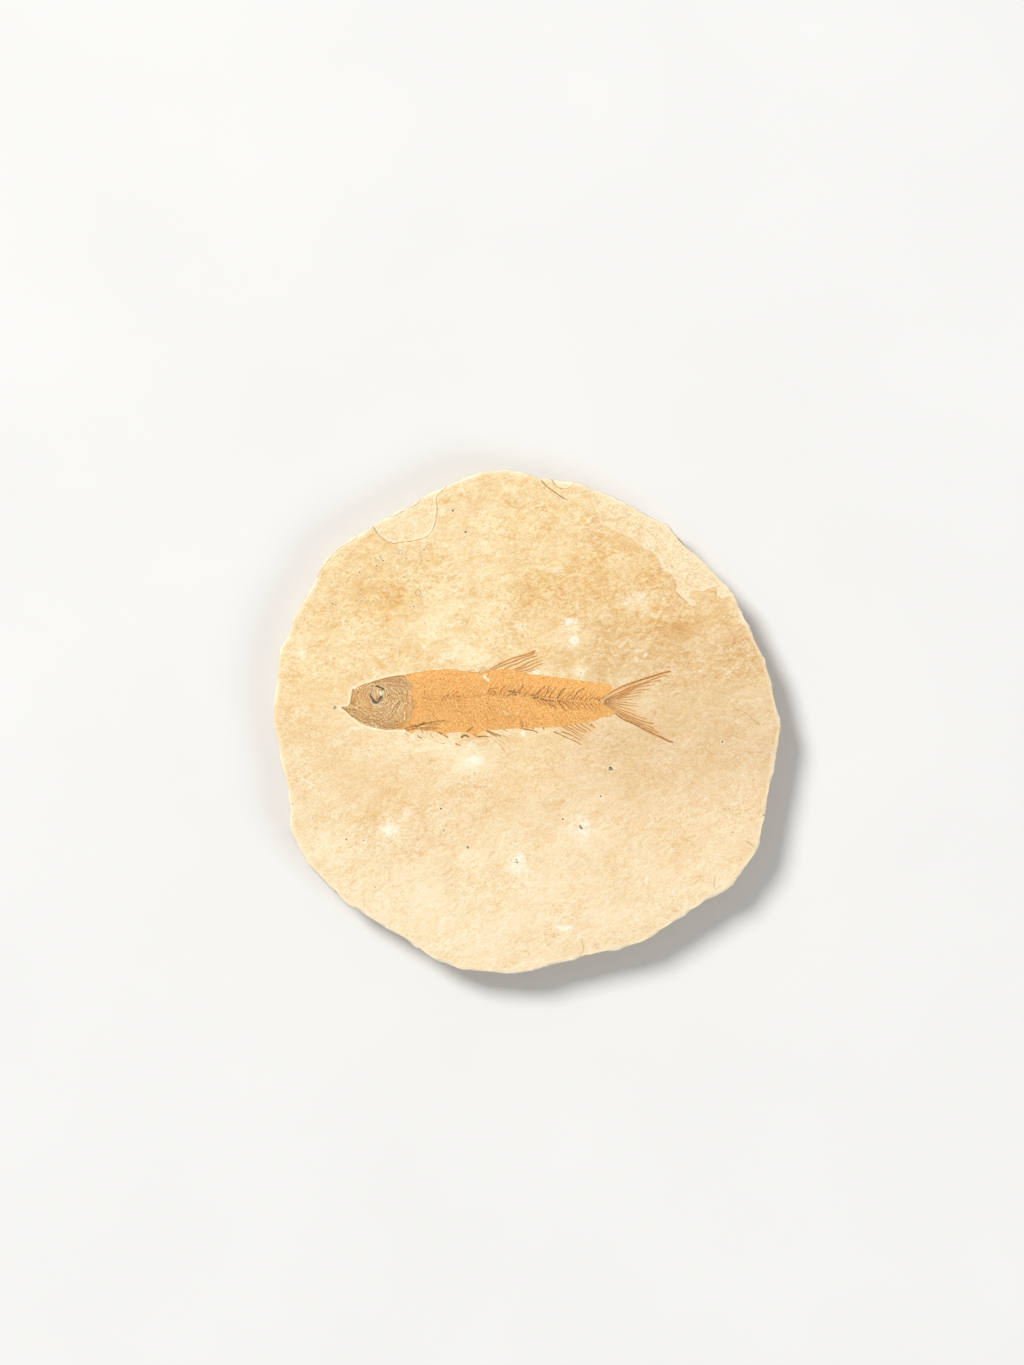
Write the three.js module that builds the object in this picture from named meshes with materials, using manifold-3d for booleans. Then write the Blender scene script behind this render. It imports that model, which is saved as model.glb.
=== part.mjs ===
// Fossil fish slab: a thin, roughly round plate of fine-grained limestone whose edge has been nibbled to shape,
// with the flattened remains of one small herring-like fish lying in its upper bedding face.
// Millimetres, +Z up. The origin is on the underside, at the centre of the plate's box; the fish's head points to -X.
import * as THREE from "three";
import { mergeVertices } from "three/addons/utils/BufferGeometryUtils.js";
import Module from "manifold-3d";

const wasm = await Module();
wasm.setup();

// ---- driving dimensions ----
const THICKNESS = 9.0; // underside to upper bedding face
const SINK = 0.5; // how deep the body lies in the face
const GAP = 0.3; // free line between the body and the wall of its hollow
const BODY_PROUD = 0.36; // the body's relief above the face
const HEAD_PROUD = 0.62; // the crushed skull stands higher
const BODY_BEVEL = 0.2;
const WEB = 0.14; // fin membrane above the face
const RAY = 0.3; // fin ray above the face
const SPINE_PROUD = 0.56; // tops of the vertebrae
const SHIFT = [0.085, 0.125]; // puts the outline's box on the origin

// Radius of the plate's outer edge, every 3 degrees from +X, anticlockwise.
const EDGE_R = [
  57.36, 56.84, 56.43, 56.19, 55.85, 55.67, 55.24, 54.92, 54.63, 54.56, 54.92, 54.79, 54.42, 54.06, 53.81,
  53.77, 53.79, 54.11, 54.54, 54.31, 54.09, 54.09, 54.2, 54.33, 54.63, 54.85, 54.97, 54.83, 55.03, 55.26,
  56.09, 56.59, 57.09, 57.22, 56.98, 56.52, 56.21, 56.03, 55.91, 55.64, 55.33, 55.53, 56.21, 56.39, 56.75,
  57.34, 58.08, 58.49, 58.24, 57.38, 57.22, 57.43, 57.49, 57.36, 57.65, 57.83, 57.7, 57.45, 57.25, 57.34,
  57.58, 56.88, 56.41, 56.19, 56.12, 56.09, 56.48, 57.34, 58.6, 58.8, 58.8, 59.21, 58.71, 58.37, 58.35,
  58.33, 57.31, 57.0, 56.57, 56.39, 56.48, 56.86, 57.4, 58.01, 58.01, 58.13, 57.86, 57.58, 57.34, 57.02,
  56.86, 56.21, 55.55, 55.24, 54.97, 54.97, 55.21, 55.6, 56.03, 56.57, 56.52, 56.39, 56.52, 56.7, 57.11,
  57.61, 58.58, 59.44, 59.59, 59.86, 59.91, 59.23, 58.74, 58.04, 57.52, 57.16, 56.98, 56.95, 57.25, 57.49,
];

// Edge section, from the underside up: height, mean inset from the outer edge, and how much the inset wanders.
const SECTION = [
  [0.0, 1.5, 0.7],
  [1.3, 0.55, 0.4],
  [3.6, 0.12, 0.12],
  [5.6, 0.0, 0.0],
  [7.6, 0.22, 0.16],
  [9.0, 0.8, 0.3],
];

// ---- the fish, in plate coordinates before SHIFT ----
const BODY = [
  [-28.9, 10.1], [-27.6, 10.7], [-25.0, 10.95], [-22.6, 11.2], [-19.6, 11.5], [-16.7, 11.7], [-16.0, 11.3],
  [-13.0, 11.3], [-10.4, 10.8], [-8.4, 11.4], [-4.0, 11.5], [0.0, 11.1], [3.0, 10.3], [6.5, 10.0], [10.0, 9.4],
  [13.6, 8.7], [16.6, 8.35], [18.5, 8.4], [19.7, 6.9], [19.6, 5.9], [17.8, 4.6], [19.2, 3.2], [20.2, 1.55],
  [18.4, 0.9], [15.6, 0.3], [14.4, -0.2], [12.4, -0.45], [9.6, -0.9], [6.6, -1.55], [3.8, -1.45], [0.0, -1.75],
  [-4.4, -2.1], [-8.2, -2.2], [-11.6, -2.6], [-14.4, -2.5], [-18.0, -2.5], [-20.2, -2.45], [-22.6, -2.3],
  [-24.8, -1.95], [-26.2, -2.6], [-27.6, -2.1], [-28.9, -1.5], [-30.5, -1.2],
];
const HEAD = [
  [-41.9, 3.2], [-40.3, 3.75], [-39.6, 6.0], [-39.2, 7.1], [-37.6, 7.8], [-36.0, 8.4], [-33.9, 9.2], [-31.6, 9.95],
  [-29.4, 10.3], [-27.6, 10.15], [-26.4, 9.2], [-25.3, 7.3], [-25.1, 4.5], [-25.2, 2.0], [-26.0, 0.2],
  [-27.3, -1.3], [-29.2, -1.8], [-31.4, -1.95], [-33.4, -1.6], [-34.8, -1.5], [-36.4, -0.9], [-38.3, 0.3],
  [-39.9, 1.6], [-40.8, 2.5],
];
const TAIL_WEB = [
  [16.6, 4.9], [19.8, 7.2], [24.4, 9.0], [29.0, 10.4], [32.3, 11.3], [31.2, 10.5], [28.8, 9.2], [26.6, 7.2],
  [25.2, 5.7], [24.6, 4.2], [24.7, 3.0], [25.3, 1.4], [27.8, -0.4], [30.0, -2.2], [32.4, -4.2], [31.6, -4.6],
  [28.6, -3.1], [25.4, -1.3], [21.4, 0.7], [19.4, 1.9],
];
const DORSAL_WEB = [
  [-8.9, 10.9], [-7.6, 12.0], [-2.6, 14.2], [1.5, 15.6], [2.6, 14.4], [3.2, 13.4], [2.8, 11.9], [1.0, 10.5],
];
const ANAL_WEB = [
  [7.0, -0.9], [6.4, -2.4], [9.0, -3.7], [12.0, -5.2], [13.0, -4.1], [14.0, -2.9], [16.2, -1.4], [14.8, 0.0],
];
const PELVIC_WEB = [
  [-13.4, -2.0], [-12.2, -3.35], [-8.9, -3.5], [-6.4, -3.2], [-8.4, -1.9],
];
const PECTORAL_WEB = [
  [-25.6, -1.6], [-24.4, -2.9], [-22.0, -3.6], [-18.1, -3.5], [-19.4, -2.0],
];
// Fin rays: root x, y and tip x, y, and the width at the root.
const RAYS = [
  [16.6, 4.9, 32.2, 11.25, 0.5], [16.8, 4.8, 30.0, 9.3, 0.42], [17.0, 4.7, 28.2, 7.9, 0.4], [17.2, 4.6, 26.4, 6.9, 0.4],
  [17.4, 4.5, 25.0, 5.5, 0.38], [17.4, 4.3, 24.6, 3.2, 0.38], [17.6, 4.2, 25.2, 1.6, 0.4], [17.6, 4.1, 27.6, -0.2, 0.42],
  [17.8, 4.0, 29.9, -2.0, 0.42], [17.8, 3.8, 32.8, -4.55, 0.5],
  [-8.9, 11.2, 1.6, 15.5, 0.34], [-7.4, 11.0, 2.4, 14.4, 0.3], [-5.8, 11.0, 2.6, 13.6, 0.3], [-3.6, 10.9, 3.2, 13.2, 0.3],
  [-1.2, 10.8, 2.8, 12.1, 0.28],
  [6.6, -1.9, 12.2, -5.1, 0.34], [7.6, -1.1, 12.9, -4.2, 0.3], [9.2, -0.9, 13.3, -3.5, 0.3], [11.0, -0.6, 14.4, -2.6, 0.3],
  [13.0, -0.5, 15.9, -1.6, 0.28],
];
const SPINE = [[-22.5, 5.3], [-14.0, 5.7], [-7.0, 5.8], [0.0, 5.2], [6.0, 4.7], [12.0, 4.5], [17.0, 4.45]];
const VERTEBRAE = 34;
const EYE = [-34.2, 6.3, 1.75]; // centre and radius of the crushed orbit

// Shallow losses in the upper face: outline and depth.
const SCARS = [
  [0.55, [[-38, 45.5], [-34.2, 43.1], [-33.4, 41.9], [-31.9, 40.8], [-30, 40.1], [-28.5, 40.3], [-25.8, 40.6], [-22.9, 41.2],
    [-21.6, 42.5], [-20.5, 44.8], [-20.2, 47.5], [-20.4, 50.5], [-19.1, 51.9], [-18, 60], [-40, 60]]],
  [0.4, [[14.0, 52.6], [15.2, 49.2], [16.6, 46.0], [19.1, 43.3], [22.8, 41.6], [26.1, 38.8], [29.5, 37.0], [30.4, 34.6],
    [32.4, 33.3], [33.4, 30.8], [36.0, 28.6], [38.3, 26.2], [38.9, 28.2], [42.0, 31.2], [44.3, 27.9], [47.4, 28.4], [56, 30],
    [50, 60], [14, 66]]],
  [0.5, [[6.8, 54.0], [8.2, 52.4], [10.0, 53.2], [11.0, 60], [6, 60]]],
];

// ---- helpers ----
const rnd = (i, k) => {
  const s = Math.sin(i * 12.9898 + k * 78.233 + 4.1) * 43758.5453;
  return s - Math.floor(s);
};
function solid(geometry) {
  const g = geometry.clone();
  g.deleteAttribute("normal");
  g.deleteAttribute("uv");
  const m = mergeVertices(g, 1e-4);
  return new wasm.Manifold(
    new wasm.Mesh({
      numProp: 3,
      vertProperties: new Float32Array(m.attributes.position.array),
      triVerts: new Uint32Array(m.index.array),
    }),
  );
}
function prism(points, z0, z1) {
  const shape = new THREE.Shape(points.map(([x, y]) => new THREE.Vector2(x + SHIFT[0], y + SHIFT[1])));
  return solid(new THREE.ExtrudeGeometry(shape, { depth: z1 - z0, bevelEnabled: false }).translate(0, 0, z0));
}
// A plate whose upper rim is chamfered and whose outline is kept below the chamfer.
function plate(points, z0, z1, bevel) {
  const shape = new THREE.Shape(points.map(([x, y]) => new THREE.Vector2(x + SHIFT[0], y + SHIFT[1])));
  const g = new THREE.ExtrudeGeometry(shape, {
    depth: z1 - z0 - bevel + 1,
    bevelEnabled: true,
    bevelSegments: 2,
    bevelThickness: bevel,
    bevelSize: bevel,
    bevelOffset: -bevel,
  }).translate(0, 0, z0 - 1);
  const below = new THREE.BoxGeometry(200, 200, 4).translate(0, 0, z0 - 2);
  return solid(g).subtract(solid(below));
}
// The outline moved outwards by d.
function grown(points, d) {
  const n = points.length;
  const area = points.reduce((a, p, i) => a + p[0] * points[(i + 1) % n][1] - p[1] * points[(i + 1) % n][0], 0);
  const s = area > 0 ? 1 : -1;
  return points.map((p, i) => {
    const a = points[(i + n - 1) % n], b = points[(i + 1) % n];
    const e1 = new THREE.Vector2(p[0] - a[0], p[1] - a[1]).normalize();
    const e2 = new THREE.Vector2(b[0] - p[0], b[1] - p[1]).normalize();
    const m = new THREE.Vector2(e1.y + e2.y, -e1.x - e2.x).normalize();
    const k = Math.min(1.6, 1 / Math.max(0.4, m.x * e1.y - m.y * e1.x));
    return [p[0] + s * m.x * d * k, p[1] + s * m.y * d * k];
  });
}
function meshOf(name, manifold, material) {
  const m = manifold.getMesh();
  const v = new Float32Array(m.numVert * 3);
  for (let i = 0; i < m.numVert; i++) v.set(m.vertProperties.subarray(i * m.numProp, i * m.numProp + 3), i * 3);
  const g = new THREE.BufferGeometry();
  g.setAttribute("position", new THREE.BufferAttribute(v, 3));
  g.setIndex(new THREE.BufferAttribute(new Uint32Array(m.triVerts), 1));
  g.computeVertexNormals();
  const mesh = new THREE.Mesh(g, material);
  mesh.name = name;
  return mesh;
}

// ---- the plate ----
// A turned disc, with every point of its edge then moved out or in to the measured outline.
function slabGeometry() {
  const n = EDGE_R.length;
  const profile = [new THREE.Vector2(0, SECTION[0][0])];
  for (const [z] of SECTION) profile.push(new THREE.Vector2(50, z));
  profile.push(new THREE.Vector2(0, SECTION[SECTION.length - 1][0]));
  const g = new THREE.LatheGeometry(profile, n).rotateX(Math.PI / 2);
  const p = g.attributes.position;
  for (let i = 0; i < p.count; i++) {
    const k = (i % profile.length) - 1;
    const z = k < 0 ? SECTION[0][0] : SECTION[Math.min(k, SECTION.length - 1)][0];
    if (k < 0 || k >= SECTION.length) {
      p.setXYZ(i, 0, 0, z);
      continue;
    }
    const step = (Math.round((Math.atan2(p.getY(i), p.getX(i)) / (2 * Math.PI)) * n) + n) % n;
    const a = (step * 2 * Math.PI) / n;
    // neighbouring points share most of their wander, so the edge breaks in scallops a few millimetres long
    const w = 0.25 * rnd((step + n - 1) % n, k) + 0.5 * rnd(step, k) + 0.25 * rnd((step + 1) % n, k);
    const r = EDGE_R[step] - SECTION[k][1] - SECTION[k][2] * (2 * w - 1);
    p.setXYZ(i, r * Math.cos(a) + SHIFT[0], r * Math.sin(a) + SHIFT[1], z);
  }
  return g;
}

let slab = solid(slabGeometry());
for (const [depth, outline] of SCARS) slab = slab.subtract(prism(outline, THICKNESS - depth, THICKNESS + 2));
slab = slab
  .subtract(prism(grown(BODY, GAP), THICKNESS - SINK, THICKNESS + 1))
  .subtract(prism(grown(HEAD, GAP), THICKNESS - SINK, THICKNESS + 1));

// ---- the fish ----
let fish = plate(BODY, THICKNESS - SINK, THICKNESS + BODY_PROUD, BODY_BEVEL);
const orbit = new THREE.CylinderGeometry(EYE[2], EYE[2], 1, 20)
  .rotateX(Math.PI / 2)
  .translate(EYE[0] + SHIFT[0], EYE[1] + SHIFT[1], THICKNESS + HEAD_PROUD + 0.25);
fish = fish.add(plate(HEAD, THICKNESS - SINK, THICKNESS + HEAD_PROUD, 0.34).subtract(solid(orbit)));
for (const web of [TAIL_WEB, DORSAL_WEB, ANAL_WEB, PELVIC_WEB, PECTORAL_WEB])
  fish = fish.add(prism(web, THICKNESS, THICKNESS + WEB));
for (const [x0, y0, x1, y1, w] of RAYS) {
  const d = new THREE.Vector2(x1 - x0, y1 - y0).normalize();
  const p = (x, y, h) => [x - d.y * h, y + d.x * h];
  fish = fish.add(
    prism([p(x0, y0, w / 2), p(x0, y0, -w / 2), p(x1, y1, -w / 4), p(x1, y1, w / 4)], THICKNESS, THICKNESS + RAY),
  );
}
const line = new THREE.CatmullRomCurve3(SPINE.map(([x, y]) => new THREE.Vector3(x, y, 0)));
for (let i = 0; i < VERTEBRAE; i++) {
  const p = line.getPointAt((i + 0.5) / VERTEBRAE);
  const size = 0.95 - 0.35 * (i / VERTEBRAE);
  const centrum = new THREE.BoxGeometry(size * 0.86, size, SPINE_PROUD)
    .rotateZ(0.12 * (rnd(i, 9) - 0.5))
    .translate(p.x + SHIFT[0], p.y + SHIFT[1], THICKNESS + SPINE_PROUD / 2);
  fish = fish.add(solid(centrum));
}

// ---- scene graph ----
const limestone = new THREE.MeshStandardMaterial({ name: "limestone", color: 0xf2dbae, roughness: 0.88, metalness: 0 });
const bone = new THREE.MeshStandardMaterial({ name: "fossil_bone", color: 0xe5a55c, roughness: 0.7, metalness: 0 });

const part = new THREE.Group();
part.name = "fossil_fish_slab";
part.add(meshOf("limestone_slab", slab, limestone));
part.add(meshOf("fossil_fish", fish, bone));

export default part;
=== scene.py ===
"""Fossil fish slab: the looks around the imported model.

All the drawing below is in "drawing units" (u to the right, v down), DPM of them to the millimetre,
and turned into millimetres of the row frame by mm(). Meshes are made in millimetres and scaled once.
"""
import math

import bpy
import numpy as np
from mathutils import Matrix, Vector
from mathutils.geometry import delaunay_2d_cdt


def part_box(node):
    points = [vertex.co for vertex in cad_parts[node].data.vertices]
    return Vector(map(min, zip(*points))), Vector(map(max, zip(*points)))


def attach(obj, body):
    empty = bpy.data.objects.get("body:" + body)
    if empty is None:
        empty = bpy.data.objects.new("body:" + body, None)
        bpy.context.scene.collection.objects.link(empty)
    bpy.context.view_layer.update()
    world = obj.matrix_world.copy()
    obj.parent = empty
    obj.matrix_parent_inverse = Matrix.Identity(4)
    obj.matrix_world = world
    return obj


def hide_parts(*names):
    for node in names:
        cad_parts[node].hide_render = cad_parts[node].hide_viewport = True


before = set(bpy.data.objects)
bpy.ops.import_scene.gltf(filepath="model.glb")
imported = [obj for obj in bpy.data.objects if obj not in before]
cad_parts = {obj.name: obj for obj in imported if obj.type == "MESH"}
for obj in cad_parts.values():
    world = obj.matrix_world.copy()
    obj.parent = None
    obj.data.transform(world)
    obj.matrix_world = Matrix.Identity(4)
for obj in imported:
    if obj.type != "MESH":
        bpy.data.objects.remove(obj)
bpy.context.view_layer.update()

SLAB_LO, SLAB_HI = (np.array(c) * 1000 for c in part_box("limestone_slab"))
FISH_LO, FISH_HI = (np.array(c) * 1000 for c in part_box("fossil_fish"))
TOP = SLAB_HI[2]
CX, CY = (SLAB_LO[:2] + SLAB_HI[:2]) / 2

DPM = 4.43
DU, DV = 526.5 - 0.085 * DPM, 721.0 + 0.125 * DPM  # drawing position of the row frame's origin
DU -= CX * DPM
DV += CY * DPM


def mm(points):
    p = np.array(points, float).reshape(-1, 2)
    return np.stack([(p[:, 0] - DU) / DPM, (DV - p[:, 1]) / DPM], 1)


# ------------------------------------------------------------------ noise
def _grad(ix, iy, iz, seed):
    h = (ix * 374761393 + iy * 668265263 + iz * 1440662683 + seed * 974634777) & 0xFFFFFFFF
    h = ((h ^ (h >> 13)) * 1274126177) & 0xFFFFFFFF
    h = (h ^ (h >> 16)) & 0xFFFFFFFF
    a = (h & 0xFFFF) * (2 * math.pi / 65536)
    z = ((h >> 16) & 0xFFFF) / 32767.5 - 1
    r = np.sqrt(np.maximum(0, 1 - z * z))
    return r * np.cos(a), r * np.sin(a), z


def noise(x, y, z=0.0, seed=1):
    """Gradient noise, about -1 to 1."""
    x, y, z = np.broadcast_arrays(np.asarray(x, float), np.asarray(y, float), np.asarray(z, float))
    i, j, k = (np.floor(c).astype(np.int64) for c in (x, y, z))
    fx, fy, fz = x - i, y - j, z - k
    ux, uy, uz = (f * f * f * (f * (f * 6 - 15) + 10) for f in (fx, fy, fz))
    out = 0.0
    for dx in (0, 1):
        for dy in (0, 1):
            for dz in (0, 1):
                gx, gy, gz = _grad(i + dx, j + dy, k + dz, seed)
                w = (ux if dx else 1 - ux) * (uy if dy else 1 - uy) * (uz if dz else 1 - uz)
                out = out + w * (gx * (fx - dx) + gy * (fy - dy) + gz * (fz - dz))
    return out * 1.6


def fbm(x, y, z=0.0, seed=1, octaves=4, gain=0.5):
    total, amp = 0.0, 1.0
    for o in range(octaves):
        f = 2.03**o
        total = total + amp * noise(np.asarray(x) * f, np.asarray(y) * f, np.asarray(z) * f, seed + o * 17)
        amp *= gain
    return total


def smooth(e0, e1, x):
    t = np.clip((x - e0) / (e1 - e0), 0, 1)
    return t * t * (3 - 2 * t)


# ------------------------------------------------------------------ drawing
def seg_dist(p, line):
    """Distance of points to a polyline, the share of its length at the nearest point, and the signed side."""
    a, b = line[:-1], line[1:]
    length = np.linalg.norm(b - a, axis=1)
    start = np.concatenate([[0], np.cumsum(length)])
    best = np.full(len(p), 1e9)
    at = np.zeros(len(p))
    side = np.zeros(len(p))
    for i in range(len(a)):
        d = b[i] - a[i]
        t = np.clip(((p - a[i]) @ d) / max(d @ d, 1e-12), 0, 1)
        q = p - a[i] - t[:, None] * d
        dist = np.hypot(q[:, 0], q[:, 1])
        near = dist < best
        best[near] = dist[near]
        at[near] = (start[i] + t[near] * length[i]) / start[-1]
        side[near] = np.sign(d[0] * (p[near, 1] - a[i, 1]) - d[1] * (p[near, 0] - a[i, 0]))
    return best, at, side


def poly_sd(p, poly):
    """Signed distance to a closed outline, negative inside."""
    closed = np.vstack([poly, poly[:1]])
    d, _, _ = seg_dist(p, closed)
    inside = np.zeros(len(p), bool)
    x, y = p[:, 0], p[:, 1]
    for (x0, y0), (x1, y1) in zip(closed[:-1], closed[1:]):
        hit = (y0 > y) != (y1 > y)
        with np.errstate(divide="ignore", invalid="ignore"):
            xc = x0 + (y - y0) * (x1 - x0) / (y1 - y0)
        inside ^= hit & (x < xc)
    return np.where(inside, -d, d)


def near(p, line, margin):
    lo, hi = line.min(0) - margin, line.max(0) + margin
    return np.nonzero((p[:, 0] > lo[0]) & (p[:, 0] < hi[0]) & (p[:, 1] > lo[1]) & (p[:, 1] < hi[1]))[0]


def curve(points, step=1.2):
    """A smooth line through drawing points (Catmull-Rom), in mm."""
    p = np.array(points, float)
    if len(p) < 3:
        return mm(p)
    ext = np.vstack([2 * p[0] - p[1], p, 2 * p[-1] - p[-2]])
    out = []
    for i in range(1, len(ext) - 2):
        p0, p1, p2, p3 = ext[i - 1 : i + 3]
        n = max(2, int(np.hypot(*(p2 - p1)) / step))
        t = np.linspace(0, 1, n, endpoint=False)[:, None]
        out.append(0.5 * (2 * p1 + (p2 - p0) * t + (2 * p0 - 5 * p1 + 4 * p2 - p3) * t**2 + (3 * p1 - p0 - 3 * p2 + p3) * t**3))
    return mm(np.vstack(out + [p[-1:]]))


# ------------------------------------------------------------------ the slab's shape
# Radius of the outer edge, every 1.5 degrees from +X, anticlockwise, about the middle of its box.
EDGE_R = np.array([
    57.36,57.09,56.84,56.61,56.41,56.28,56.19,56.05,55.85,55.71,55.67,55.46,55.24,55.06,54.92,54.79,54.63,54.45,54.54,54.72,
    54.92,55.06,54.79,54.6,54.42,54.27,54.06,54.04,53.79,53.68,53.75,53.72,53.79,53.86,54.11,54.4,54.51,54.47,54.31,54.15,
    54.06,54.04,54.09,54.13,54.2,54.13,54.33,54.49,54.63,54.72,54.83,54.99,54.94,54.94,54.83,54.83,55.03,55.17,55.26,55.64,
    56.09,56.37,56.59,57.09,57.09,57.11,57.22,57.22,56.95,56.7,56.52,56.28,56.21,56.14,56.03,55.96,55.91,55.89,55.67,55.49,
    55.37,55.73,55.55,55.82,56.21,56.3,56.37,56.5,56.75,57.0,57.34,57.77,58.08,58.22,58.47,58.4,58.24,57.65,57.38,57.27,
    57.22,57.34,57.43,57.4,57.49,57.47,57.34,57.4,57.65,57.88,57.83,57.79,57.7,57.67,57.43,57.22,57.25,57.27,57.34,57.43,
    57.56,57.29,56.88,56.64,56.39,56.32,56.19,56.09,56.12,56.12,56.09,56.16,56.48,56.82,57.34,58.01,58.6,58.8,58.78,58.76,
    58.8,59.01,59.19,59.07,58.71,58.53,58.37,58.35,58.33,58.33,58.31,57.95,57.31,57.09,57.0,56.66,56.57,56.43,56.39,56.41,
    56.48,56.61,56.86,57.13,57.4,57.81,58.01,57.97,58.01,58.04,58.13,57.97,57.86,57.79,57.56,57.38,57.34,57.2,57.02,57.0,
    56.86,56.68,56.21,55.8,55.55,55.26,55.24,55.03,54.97,54.88,54.97,55.06,55.21,55.37,55.6,55.78,56.03,56.28,56.57,56.64,
    56.5,56.39,56.39,56.46,56.52,56.68,56.7,56.82,57.11,57.36,57.61,58.04,58.56,59.12,59.44,59.53,59.59,59.71,59.86,59.84,
    59.89,59.64,59.23,58.94,58.71,58.49,58.04,57.7,57.49,57.34,57.16,57.02,56.98,56.95,56.93,57.02,57.25,57.34,57.47,57.54,
])
MID = (mm([[526.5, 721.0]]))[0]


def edge_r(theta):
    t = np.mod(theta, 2 * np.pi) * len(EDGE_R) / (2 * np.pi)
    i = np.floor(t).astype(int)
    f = t - i
    n = len(EDGE_R)
    p0, p1, p2, p3 = (EDGE_R[(i + k) % n] for k in (-1, 0, 1, 2))
    soft = 0.5 * (2 * p1 + (p2 - p0) * f + (2 * p0 - 5 * p1 + 4 * p2 - p3) * f**2 + (3 * p1 - p0 - 3 * p2 + p3) * f**3)
    return soft + 0.07 * noise(MID[0] + 60 * np.cos(theta) / 1.1, 60 * np.sin(theta) / 1.1, 0, 5)


# Shallow losses in the upper face: outline, depth in mm, extra depth per mm inwards, raggedness, strength of the dark line.
SCARS = [
    ([(362, 514), (373.5, 527.5), (375.8, 531), (378.6, 535.2), (385, 540.2), (390, 542.6), (394.5, 543.4), (398.5, 542.4), (405, 541.9),
      (412, 541), (419, 539.6), (425.2, 538), (429.4, 534.6), (433, 529.2), (435.4, 522.6), (436.7, 516), (437.2, 510), (436.6, 503),
      (436, 497.6), (438.2, 494.2), (442.2, 491), (446, 487), (452, 478), (430, 460), (370, 480)], 0.26, 0.012, 0.0, 1.0),
    ([(586, 476), (590.4, 492), (593, 505), (600, 521.4), (606, 526.6), (612, 529.2), (621.8, 534.2), (630.3, 537.6), (634, 541.6), (640, 544.8),
      (646, 549), (652, 552), (656.6, 555), (659.6, 559.4), (659.4, 563), (660.8, 566.7), (665, 570.4), (669, 572.7), (672, 576), (674, 578.8),
      (675.9, 584.8), (674.4, 589.7), (680, 595.8), (684, 599.4), (688.5, 604.2), (692, 606.6), (695.8, 606.7), (697.2, 603.4), (694.6, 600.6),
      (691, 597), (690, 592.6), (693.3, 589.7), (698, 591), (703, 592.6), (709, 589.3), (714.6, 586.9), (716.6, 590.4), (717.2, 595.6), (722.4, 598.2),
      (728.5, 595.9), (733, 596.6), (745, 594), (720, 520), (650, 460)], 0.07, 0.004, 0.22, 0.12),
    ([(551, 478), (554.6, 484.2), (556.8, 486.3), (559.3, 487.9), (563.7, 489.3), (568.4, 487.8), (571, 486), (573.5, 483.6), (577, 478)], 0.3, 0.05, 0.03, 0.8),
    ([(500, 468), (502.6, 474.6), (506, 478.4), (510, 480.4), (514.6, 481.2), (519, 481), (524, 479), (528, 476.4), (531, 470)], 0.16, 0.05, 0.1, 0.06),
    ([(389, 517.5), (395.5, 515.4), (399.6, 512.9), (403.9, 510.6), (409.5, 507.8), (415.9, 504.6), (421, 500), (410, 494), (390, 505)], 0.42, 0.1, 0.04, 0.8),
    ([(317, 578), (319.4, 573.3), (322.2, 567.9), (327.2, 561.9), (329.6, 558.6), (333.2, 553.3), (339.1, 548.3), (346.3, 543.6), (353.5, 539.9),
      (358, 536), (340, 530), (310, 560)], 0.3, 0.1, 0.05, 0.75),
    ([(291, 626), (294.8, 619.5), (298.4, 612.3), (303.2, 601.5), (306.2, 596.7), (310, 588), (300, 585), (280, 620)], 0.26, 0.1, 0.05, 0.6),
]
SCARS = [(mm(o), *rest) for o, *rest in SCARS]


def scars(p):
    """Signed distance to the nearest scar's border (negative inside), how deep the face lies there, and the dark line's strength."""
    sd, depth, line, pale = np.full(len(p), 9.0), np.zeros(len(p)), np.zeros(len(p)), np.zeros(len(p))
    wob = fbm(p[:, 0] / 1.6, p[:, 1] / 1.6, 3.3, 41, 3)
    for k, (outline, deep, slope, rag, ink) in enumerate(SCARS):
        i = near(p, outline, 4.0)
        if not len(i):
            continue
        d = poly_sd(p[i], outline) + rag * wob[i]
        inside = d < 0
        depth[i] = np.where(inside, np.maximum(depth[i], deep + slope * np.minimum(-d, 10)), depth[i])
        closer = np.abs(d) < np.abs(sd[i])
        line[i] = np.where(closer, ink, line[i])
        sd[i] = np.where(closer, d, sd[i])
        pale[i] = np.where(inside, 1, pale[i])
    return sd, depth, line, pale


def ground(x, y):
    """The upper bedding face's gentle relief, at or below the CAD face."""
    broad = fbm(x / 24, y / 24, 0.0, 11, 2) * 0.09
    mid = fbm(x / 6.5, y / 6.5, 1.0, 12, 2) * 0.03
    return TOP - 0.16 + broad + mid


def grain(x, y):
    c, s = math.cos(0.45), math.sin(0.45)
    u, v = c * x + s * y, -s * x + c * y
    return 0.016 * fbm(u / 2.6, v / 1.1, 2.0, 13, 3) + 0.010 * noise(x / 0.9, y / 0.9, 4.0, 14)


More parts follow.
